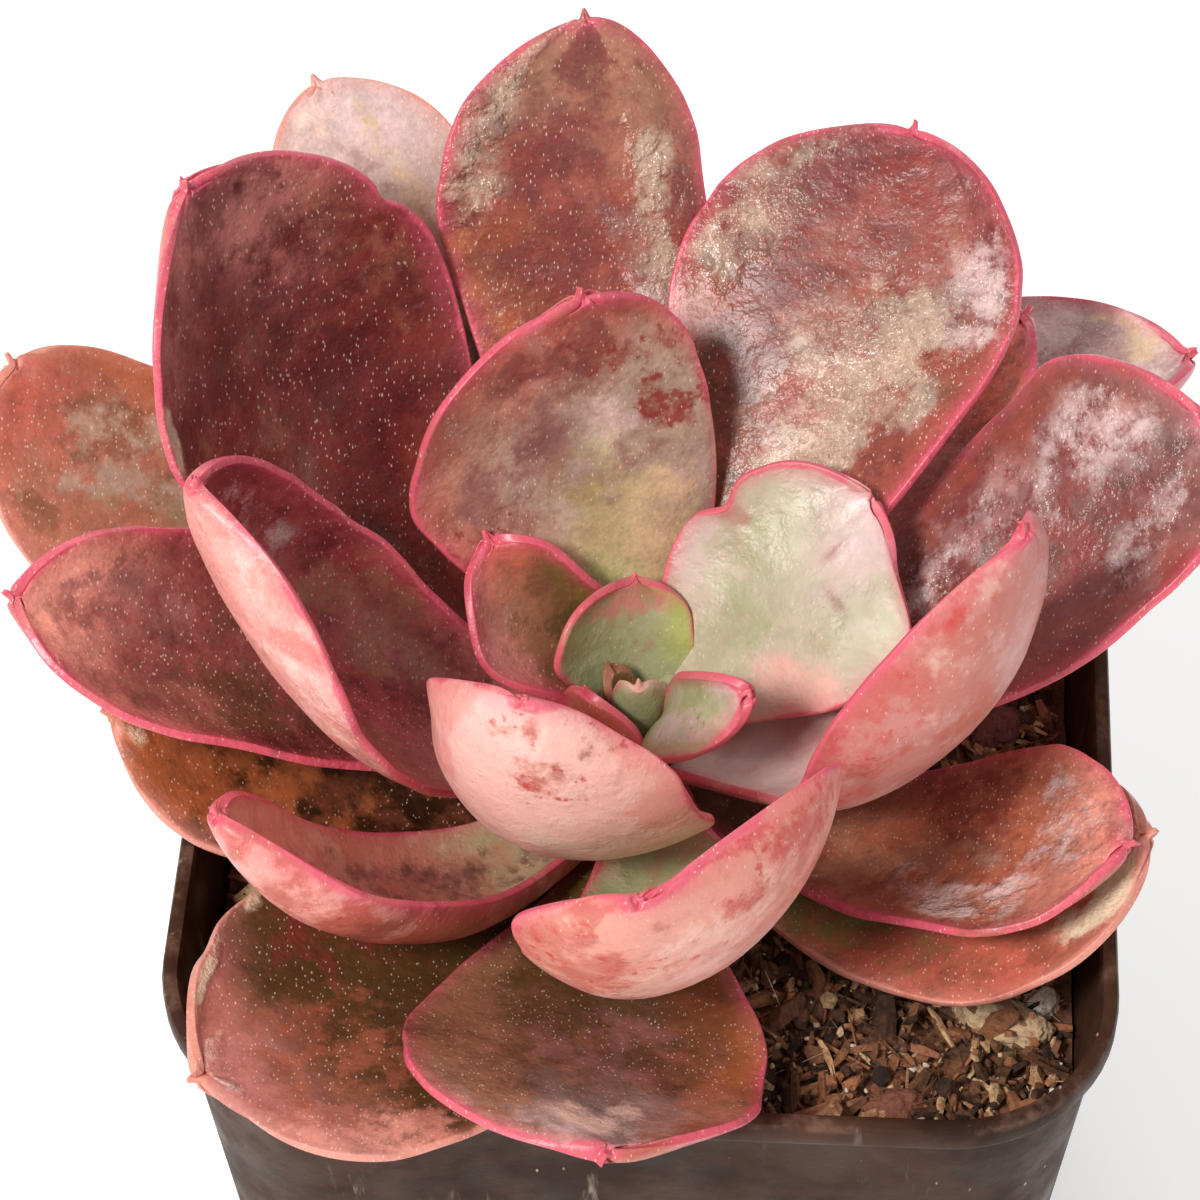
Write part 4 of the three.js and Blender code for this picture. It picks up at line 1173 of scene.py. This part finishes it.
@dataclass
class Pot:
    """The square nursery pot with round corners, thin walls, a rolled lip and drain holes."""

    height: float = 80.0
    rim_half: float = 44.5
    foot_half: float = 36.5
    wall: float = 1.2
    floor: float = 1.6
    lip_height: float = 3.2
    lip_step: float = 0.9
    lip_width: float = 1.6
    rim_corner: float = 16.0
    drain_radius: float = 4.0
    drain_offset: float = 20.0
    corner_steps: int = 14

    @property
    def straight(self) -> float:
        """Half the length of a side's straight stretch, the same at every height."""
        return self.rim_half - self.rim_corner

    def wall_half(self, z: float) -> float:
        """Half width of the outer wall at a height, without the lip."""
        top = self.rim_half - self.lip_step
        return self.foot_half + (top - self.foot_half) * z / self.height

    def _profile(self) -> list[tuple[float, float]]:
        """Lists the pot's rings, up the outside, over the lip and down the inside.

        Returns:
            Half width and height of each ring.
        """
        lip_foot = self.height - self.lip_height
        rounding = 0.6
        inner_rim = self.rim_half - self.lip_width
        outside = [(self.foot_half - 1, 0.0), (self.foot_half - 0.3, 0.3), (self.wall_half(1), 1.0)]
        outside += [(self.wall_half(z), z) for z in (10, 25, 40, 55, 70, lip_foot - rounding)]
        lip = [(self.rim_half - 0.2, lip_foot), (self.rim_half, lip_foot + rounding),
               (self.rim_half, self.height - rounding), (self.rim_half - 0.18, self.height - 0.18),
               (self.rim_half - rounding, self.height), (inner_rim + rounding, self.height),
               (inner_rim + 0.18, self.height - 0.18), (inner_rim, self.height - rounding)]
        inside = [(self.wall_half(z) - self.wall, z) for z in (lip_foot - 1, 60, 40, 20, self.floor + 1)]
        return outside + lip + inside + [(self.wall_half(self.floor) - self.wall - 1, self.floor)]

    def _outset(self, mesh: Mesh, half: float, z: float) -> None:
        """Moves the selected ring, keeping its corners round.

        Args:
            mesh: The pot's mesh, in edit mode.
            half: The ring's new half width.
            z: The ring's new height.
        """
        shape = bmesh.from_edit_mesh(mesh)
        for vertex in (v for v in shape.verts if v.select):
            corner = Vector((math.copysign(self.straight, vertex.co.x),
                             math.copysign(self.straight, vertex.co.y)))
            corner *= MM
            out = (vertex.co.xy - corner).normalized()
            place = corner + out * (half - self.straight) * MM
            vertex.co = (place.x, place.y, z * MM)
        bmesh.update_edit_mesh(mesh)

    def build(self, finishes: Finishes) -> None:
        """Makes the pot from a square plate, drawn up ring by ring.

        Args:
            finishes: The materials.
        """
        profile = self._profile()
        deselect_all()
        bpy.ops.mesh.primitive_plane_add(size=2 * profile[0][0] * MM, location=(0, 0, 0))
        piece = named("nursery_pot")
        start_edit()
        bpy.ops.mesh.bevel(offset=(profile[0][0] - self.straight) * MM, segments=self.corner_steps,
                           affect="VERTICES")
        self._outset(piece.data, *profile[0])
        for half, z in profile[1:]:
            draw_up(0.1)
            self._outset(piece.data, half, z)
        end_edit()
        self._drill(piece)
        activate(piece)
        bpy.ops.object.shade_smooth_by_angle(angle=math.radians(40))
        finish_piece(piece, finishes.pot, "pot_plastic", "pot")

    def _drill(self, piece: Piece) -> None:
        """Cuts the drain holes through the floor.

        Args:
            piece: The pot.
        """
        for x in (-self.drain_offset, self.drain_offset):
            for y in (-self.drain_offset, self.drain_offset):
                deselect_all()
                bpy.ops.mesh.primitive_cylinder_add(vertices=32, radius=self.drain_radius * MM,
                                                    depth=3 * self.floor * MM,
                                                    location=(x * MM, y * MM, self.floor / 2 * MM))
                drill = named("drill")
                apply_modifier(piece, "BOOLEAN", operation="DIFFERENCE", object=drill, solver="EXACT")
                bpy.data.objects.remove(drill)


@dataclass(frozen=True)
class Bits:
    """One kind of loose bit on the soil.

    The numbers are its count, smallest and largest scale, smallest and largest share of the scale across
    the bit's length, lean in radians and least height over the ground in millimetres.
    """

    name: str
    count: int
    size: tuple[float, float]
    slim: tuple[float, float]
    tilt: float
    rise: float


@dataclass
class Soil:
    """The bark soil: an uneven ground with shreds, chips, fibres and grit on it."""

    pot: Pot = field(default_factory=Pot)
    level: float = 70.2
    dip: float = 4.5
    dip_radius: float = 20.0
    edge_drop: float = 1.6
    lump: float = 0.55
    gap: float = 0.3
    cells: int = 120
    loose: float = 1.1
    collar: float = 6.0
    shreds: Bits = Bits("bark_shreds", 3600, (0.25, 1.2), (0.35, 1.3), 0.5, 0.0)
    crumbs: Bits = Bits("soil_crumbs", 5200, (0.3, 1.3), (0.6, 1.1), 1.2, 0.1)
    chips: Bits = Bits("bark_chips", 110, (0.8, 1.7), (0.8, 1.7), 0.5, 0.3)
    fibres: Bits = Bits("soil_fibres", 900, (0.5, 2.0), (0.06, 0.2), 0.6, 0.4)
    grit: Bits = Bits("white_grit", 900, (0.14, 0.62), (0.7, 1.0), 1.2, 0.7)

    def height(self, x: Array, y: Array) -> Array:
        """Height of the surface, as in the solid: lumps, a dip round the stem, a drop at the walls.

        Args:
            x: Places along X.
            y: Places along Y.

        Returns:
            The height at each place.
        """
        away = np.hypot(x - STEM_AT[0], y - STEM_AT[1])
        dip = self.dip * np.clip(1 - (away / self.dip_radius) ** 2, 0, None)
        edge = np.clip(np.hypot(x, y) / self.pot.rim_half, 0, 1) ** 4 * self.edge_drop
        lumps = np.sin(x * 0.55 + 1) * np.cos(y * 0.47) + 0.7 * np.sin(x * 0.21 - y * 0.9 + 2)
        return self.level - dip - edge + self.lump * lumps

    def _reach(self, angle: Array, half: float) -> Array:
        """Distance from the centre to a round-cornered square's outline.

        Args:
            angle: Directions from the centre.
            half: The square's half width.

        Returns:
            The distance in each direction.
        """
        corner = half - self.pot.straight
        c, s = np.abs(np.cos(angle)), np.abs(np.sin(angle))
        flat = half / np.maximum(c, s)
        inner = self.pot.straight * (c + s)
        bend = inner + np.sqrt(np.clip(inner ** 2 - 2 * self.pot.straight ** 2 + corner ** 2, 0, None))
        return np.where(flat * np.minimum(c, s) > self.pot.straight, bend, flat)

    def build(self, finishes: Finishes) -> None:
        """Makes the ground and everything loose on it.

        Args:
            finishes: The materials.
        """
        self._ground(finishes)
        rng = np.random.default_rng(20)
        for bits, bit, material in (
                (self.shreds, self._sliver, finishes.bark), (self.crumbs, self._pebble, finishes.bark),
                (self.chips, self._sliver, finishes.bark), (self.fibres, self._sliver, finishes.bark),
                (self.grit, self._pebble, finishes.grit)):
            self._scatter(bits, bit(), rng, material)

    def _ground(self, finishes: Finishes) -> None:
        """Models the ground from a grid: rounded to the pot, roughened, and closed down to its floor.

        Args:
            finishes: The materials.
        """
        deselect_all()
        bpy.ops.mesh.primitive_grid_add(x_subdivisions=self.cells, y_subdivisions=self.cells, size=2)
        piece = named("soil_ground")
        flat = points_of(piece.data)
        angle = np.arctan2(flat[:, 1], flat[:, 0])
        share = np.maximum(np.abs(flat[:, 0]), np.abs(flat[:, 1]))
        top = self.level - self.edge_drop
        half = self.pot.wall_half(top) - self.pot.wall - self.gap
        away = share * self._reach(angle, half)
        x, y = away * np.cos(angle), away * np.sin(angle)
        rough = np.array([noise.fractal(Vector((a, b, 0)) * 0.45, 0.8, 2.1, 4) for a, b in zip(x, y)])
        z = self.height(x, y) + 0.8 * np.clip(rough, -0.8, 0.8) * smooth(1 - share, 0.0, 0.06)
        place_points(piece.data, np.stack([x, y, z], 1) * MM)
        start_edit()
        bpy.ops.mesh.region_to_loop()
        floor = self.pot.floor + self.gap
        for level in (floor + 1, floor):
            draw_up(-1.0)
            shape = bmesh.from_edit_mesh(piece.data)
            ring = self.pot.wall_half(level) - self.pot.wall - self.gap - (1 if level == floor else 0)
            for vertex in (v for v in shape.verts if v.select):
                bearing = math.atan2(vertex.co.y, vertex.co.x)
                reach = float(self._reach(np.array([bearing]), ring)[0]) * MM
                vertex.co = (reach * math.cos(bearing), reach * math.sin(bearing), level * MM)
            bmesh.update_edit_mesh(piece.data)
        bpy.ops.mesh.edge_face_add()
        end_edit()
        bpy.ops.object.shade_smooth_by_angle(angle=math.radians(50))
        set_tone(piece.data, 0.35)
        finish_piece(piece, finishes.ground, "soil", "soil")

    @staticmethod
    def _sliver() -> Piece:
        """Models a split, slightly bent shred of bark, about 5 mm long, to be copied.

        Returns:
            The shred.
        """
        deselect_all()
        bpy.ops.mesh.primitive_cube_add(size=1)
        piece = named("sliver")
        bpy.ops.object.mode_set(mode="EDIT")
        bpy.ops.mesh.select_all(action="DESELECT")
        shape = bmesh.from_edit_mesh(piece.data)
        long_edges = [e for e in shape.edges if abs(e.verts[0].co.x - e.verts[1].co.x) > 0.5]
        bmesh.ops.subdivide_edges(shape, edges=long_edges, cuts=2, use_grid_fill=True)
        bmesh.update_edit_mesh(piece.data)
        bpy.ops.object.mode_set(mode="OBJECT")
        places = points_of(piece.data)
        x = places[:, 0] * 2
        taper = np.where(np.abs(x) > 0.9, 0.6, 1.0)
        bent = np.stack([x * 2.5, places[:, 1] * taper * 0.9 + 0.25 * x ** 2,
                         places[:, 2] * taper * 0.9 + 0.12 * np.sin(3 * x)], 1)
        place_points(piece.data, bent)
        return piece

    @staticmethod
    def _pebble() -> Piece:
        """Models a small broken grain, to be copied.

        Returns:
            The grain.
        """
        deselect_all()
        bpy.ops.mesh.primitive_ico_sphere_add(subdivisions=1, radius=1)
        piece = named("pebble")
        places = points_of(piece.data)
        uneven = 1 + 0.22 * np.sin(places @ np.array([[3.1], [4.3], [2.2]]))
        place_points(piece.data, places * uneven * np.array([1.0, 0.8, 0.65]))
        return piece

    def _scatter(self, bits: Bits, bit: Piece, rng: np.random.Generator, material: Material) -> None:
        """Copies one small shape over the ground as a single piece.

        Args:
            bits: The copies' name, count and sizes.
            bit: The shape to copy, in millimetres, which is then removed.
            rng: Seeded source of chance.
            material: The copies' material.
        """
        base = points_of(bit.data)
        bit.data.calc_loop_triangles()
        faces = np.array([tri.vertices[:] for tri in bit.data.loop_triangles])
        angle = rng.uniform(-math.pi, math.pi, bits.count)
        half = self.pot.wall_half(self.level) - self.pot.wall - 1.6
        away = np.sqrt(rng.uniform(0, 1, bits.count)) * self._reach(angle, half)
        x, y = away * np.cos(angle), away * np.sin(angle)
        near = np.hypot(x - STEM_AT[0], y - STEM_AT[1]) < self.collar
        x, y = x[~near], y[~near]
        total = len(x)
        small, large = bits.size
        scale = small + (large - small) * rng.uniform(0, 1, total) ** 1.8
        narrow = scale * rng.uniform(*bits.slim, total)
        yaw, lean = rng.uniform(0, math.tau, total), rng.normal(0, bits.tilt, total)
        spin = rng.uniform(0, math.tau, total)
        stretch = np.stack([scale, narrow, narrow * rng.uniform(0.5, 1, total)], 1)
        local = base[None, :, :] * stretch[:, None, :]
        wall = self.pot.wall_half(self.level) - self.pot.wall - self.gap - 0.2
        cy, sy = np.cos(spin)[:, None], np.sin(spin)[:, None]
        a = local[:, :, 0]
        b = local[:, :, 1] * cy - local[:, :, 2] * sy
        c = local[:, :, 1] * sy + local[:, :, 2] * cy
        cl, sl = np.cos(lean)[:, None], np.sin(lean)[:, None]
        a, c = a * cl - c * sl, a * sl + c * cl
        cw, sw = np.cos(yaw)[:, None], np.sin(yaw)[:, None]
        lift = (self.height(x, y) + narrow * 0.35 + bits.rise + rng.uniform(0, self.loose, total))[:, None]
        px, py = x[:, None] + a * cw - b * sw, y[:, None] + a * sw + b * cw
        bearing = np.arctan2(py, px)
        inward = np.minimum(1, self._reach(bearing, wall) / np.maximum(np.hypot(px, py), 1e-6))
        world = np.stack([px * inward, py * inward, lift + c], -1)
        mesh = bpy.data.meshes.new(bits.name)
        index = (faces[None, :, :] + (np.arange(total) * len(base))[:, None, None]).reshape(-1, 3)
        mesh.from_pydata((world.reshape(-1, 3) * MM).tolist(), [], index.tolist())
        set_values(mesh, "tone", np.repeat(rng.beta(0.9, 1.3, total), len(base)))
        bpy.data.objects.remove(bit)
        piece = bpy.data.objects.new(bits.name, mesh)
        bpy.context.scene.collection.objects.link(piece)
        finish_piece(piece, material, "soil")


@dataclass(frozen=True)
class Lump:
    """One larger stone or clod in the soil: its place, half sizes and turn."""

    at: tuple[float, float]
    size: tuple[float, float, float]
    turn: float
    tone: float
    slot: str = "stone"
    solid: bool = True


@dataclass
class Lumps:
    """The four larger lumps that lie half sunk in the soil, and a dry flake of old leaf."""

    soil: Soil = field(default_factory=Soil)
    sunk: float = 0.35

    def build(self, finishes: Finishes) -> None:
        """Makes each lump from a sphere, beaten out of round.

        Args:
            finishes: The materials.
        """
        lumps = {
            "dry_clod": (Lump((5.9, 10.5), (4.6, 3.4, 2.4), 20, 0.5), finishes.clod),
            "lava_stone": (Lump((33.5, 9.5), (3.4, 2.8, 2.4), 50, 0.5), finishes.lava),
            "red_stone": (Lump((24, -35.5), (3.6, 2.2, 2.0), 15, 0.8), finishes.lava),
            "pale_stone": (Lump((38, -22.5), (2.4, 1.8, 1.7), 70, 0.6), finishes.grit),
            "dry_flake": (Lump((34.2, -25.2), (5.4, 2.5, 1.9), 158, 1.0, "soil", False), finishes.clod),
        }
        for name, (lump, material) in lumps.items():
            self._lump(name, lump, material)

    def _lump(self, name: str, lump: Lump, material: Material) -> None:
        """Models one lump and seats it in the soil.

        Args:
            name: The solid that the lump replaces, or its own name.
            lump: Its place and size.
            material: The material.
        """
        ground = float(self.soil.height(np.array([lump.at[0]]), np.array([lump.at[1]]))[0])
        deselect_all()
        bpy.ops.mesh.primitive_ico_sphere_add(subdivisions=5, radius=1)
        piece = named(f"{name}_rough")
        places = points_of(piece.data)
        seed = lump.turn
        rough = np.array([
            0.16 * noise.fractal(Vector(p) * 1.1 + Vector((seed, 0, 0)), 0.8, 2.2, 5)
            - 0.1 * max(0.0, noise.noise(Vector(p) * 4.2 + Vector((0, seed, 0)))) for p in places])
        turn = math.radians(lump.turn)
        shaped = places * (0.94 + rough)[:, None] * np.array(lump.size)
        x = shaped[:, 0] * math.cos(turn) - shaped[:, 1] * math.sin(turn) + lump.at[0]
        y = shaped[:, 0] * math.sin(turn) + shaped[:, 1] * math.cos(turn) + lump.at[1]
        z = shaped[:, 2] + ground + lump.size[2] * self.sunk
        place_points(piece.data, np.stack([x, y, z], 1) * MM)
        set_tone(piece.data, lump.tone)
        activate(piece)
        bpy.ops.object.shade_smooth()
        finish_piece(piece, material, lump.slot, *([name] if lump.solid else []))


@dataclass
class Stem:
    """The short stem with the scars of old leaves, turned from rings."""

    radius: float = 3.7
    foot: float = 52.0
    shoulder: float = 82.6
    top: float = 84.2
    crown: float = 1.3
    scars: int = 22

    def build(self, finishes: Finishes) -> None:
        """Makes the stem from a disc, drawn up ring by ring.

        Args:
            finishes: The materials.
        """
        x, y = STEM_AT[0] * MM, STEM_AT[1] * MM
        rings = [(self.radius * 0.55, self.foot), (self.radius * 0.9, self.foot + 5)]
        for i in range(self.scars):
            z = self.foot + 8 + (self.shoulder - 1 - self.foot - 8) * i / (self.scars - 1)
            rings.append((self.radius * (0.97 + 0.03 * math.sin(i * 2.1)), z))
        rings += [(self.radius * 0.8, self.shoulder), (self.crown, self.shoulder + 0.4),
                  (self.crown * 0.8, self.top - 0.2), (self.crown * 0.3, self.top)]
        deselect_all()
        bpy.ops.mesh.primitive_circle_add(vertices=36, radius=rings[0][0] * MM, fill_type="NGON",
                                          location=(x, y, rings[0][1] * MM))
        piece = named("stem_skin")
        bpy.ops.object.transform_apply(location=True, rotation=True, scale=True)
        start_edit()
        for (before, low), (after, high) in zip(rings, rings[1:]):
            draw_up(high - low)
            share = after / before
            bpy.ops.transform.resize(value=(share, share, 1), center_override=(x, y, high * MM))
        end_edit()
        bpy.ops.object.shade_smooth_by_angle(angle=math.radians(50))
        set_tone(piece.data, 0.5)
        finish_piece(piece, finishes.stem, "stem", "stem")


@dataclass
class Studio:
    """The pale floor, the soft lights and the camera at the photo's angle."""

    elevation: float = 51.5
    heading: float = 2.6
    distance: float = 390.0
    focal_px: float = 4009.0
    image_px: float = 1200.0
    target_px: tuple[float, float] = (653.5, 735.0)
    sensor: float = 36.0

    def build(self) -> None:
        """Sets the stage."""
        self._floor()
        self._world()
        self._area("key_light", (-0.34, -0.44, 0.74), 0.19, 6.7, (1.0, 0.97, 0.93))
        self._area("fill_light", (0.6, -0.4, 0.7), 0.6, 1.0, (0.95, 0.97, 1.0))
        self._area("back_light", (-0.1, 0.7, 0.8), 0.4, 1.9, (1.0, 1.0, 1.0))
        self._camera()
        bpy.context.scene.view_settings.view_transform = "Standard"

    @staticmethod
    def _floor() -> None:
        """Lays the floor under the pot."""
        deselect_all()
        bpy.ops.mesh.primitive_plane_add(size=6, location=(0, 0, 0))
        floor = named("studio_floor")
        material, g, shader = new_material("pale floor")
        tint = g.ramp(g.noise(3.0, 3.0), 0.3, 0.7, 0.0, 0.02)
        g.join(g.mix(tint, Tone.FLOOR, Tone.DUST), shader.inputs["Base Color"])
        for name, value in (("Roughness", 0.9), ("Emission Color", WHITE), ("Emission Strength", 0.36)):
            shader.inputs[name].default_value = value
        floor.data.materials.append(material)

    @staticmethod
    def _world() -> None:
        """Lights the scene evenly from all sides."""
        world = bpy.data.worlds.new("soft sky")
        world.use_nodes = True
        sky = world.node_tree.nodes["Background"].inputs
        sky["Color"].default_value, sky["Strength"].default_value = WHITE, 0.4
        bpy.context.scene.world = world

    @staticmethod
    def _area(name: str, place: tuple[float, float, float], size: float, power: float,
              colour: tuple[float, float, float]) -> None:
        """Adds a square soft light that faces the plant.

        Args:
            name: The light's name.
            place: Where it hangs, in metres.
            size: Its width in metres.
            power: Its power in watts.
            colour: Its linear red, green and blue.
        """
        light = bpy.data.lights.new(name, "AREA")
        light.size = size
        light.energy = power
        light.color = colour
        lamp = bpy.data.objects.new(name, light)
        lamp.location = place
        aim = Vector((0, 0, 0.08)) - Vector(place)
        lamp.rotation_euler = aim.to_track_quat("-Z", "Y").to_euler()
        bpy.context.scene.collection.objects.link(lamp)

    def _camera(self) -> None:
        """Sets the camera so that the pot's rim falls where the photo has it."""
        rise, turn = math.radians(self.elevation), math.radians(self.heading)
        back = Vector((math.sin(turn) * math.cos(rise), -math.cos(turn) * math.cos(rise), math.sin(rise)))
        lens = bpy.data.cameras.new("photo_lens")
        lens.sensor_width = self.sensor
        lens.lens = self.focal_px / self.image_px * self.sensor
        lens.shift_x = (self.image_px / 2 - self.target_px[0]) / self.image_px
        lens.shift_y = (self.target_px[1] - self.image_px / 2) / self.image_px
        lens.clip_start = 0.01
        camera = bpy.data.objects.new("photo_camera", lens)
        camera.location = Vector((0, 0, Pot.height * MM)) + back * self.distance * MM
        camera.rotation_euler = (-back).to_track_quat("-Z", "Y").to_euler()
        bpy.context.scene.collection.objects.link(camera)
        bpy.context.scene.camera = camera


def main() -> None:
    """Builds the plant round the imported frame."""
    logging.basicConfig(level=logging.INFO, format="%(name)s: %(message)s")
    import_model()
    finishes = Finishes()
    makers: Sequence[Callable[[Finishes], None]] = (
        Pot().build, Soil().build, Lumps().build, Stem().build, Leaves().build)
    for make in makers:
        make(finishes)
    Studio().build()


if __name__ == "__main__":
    main()
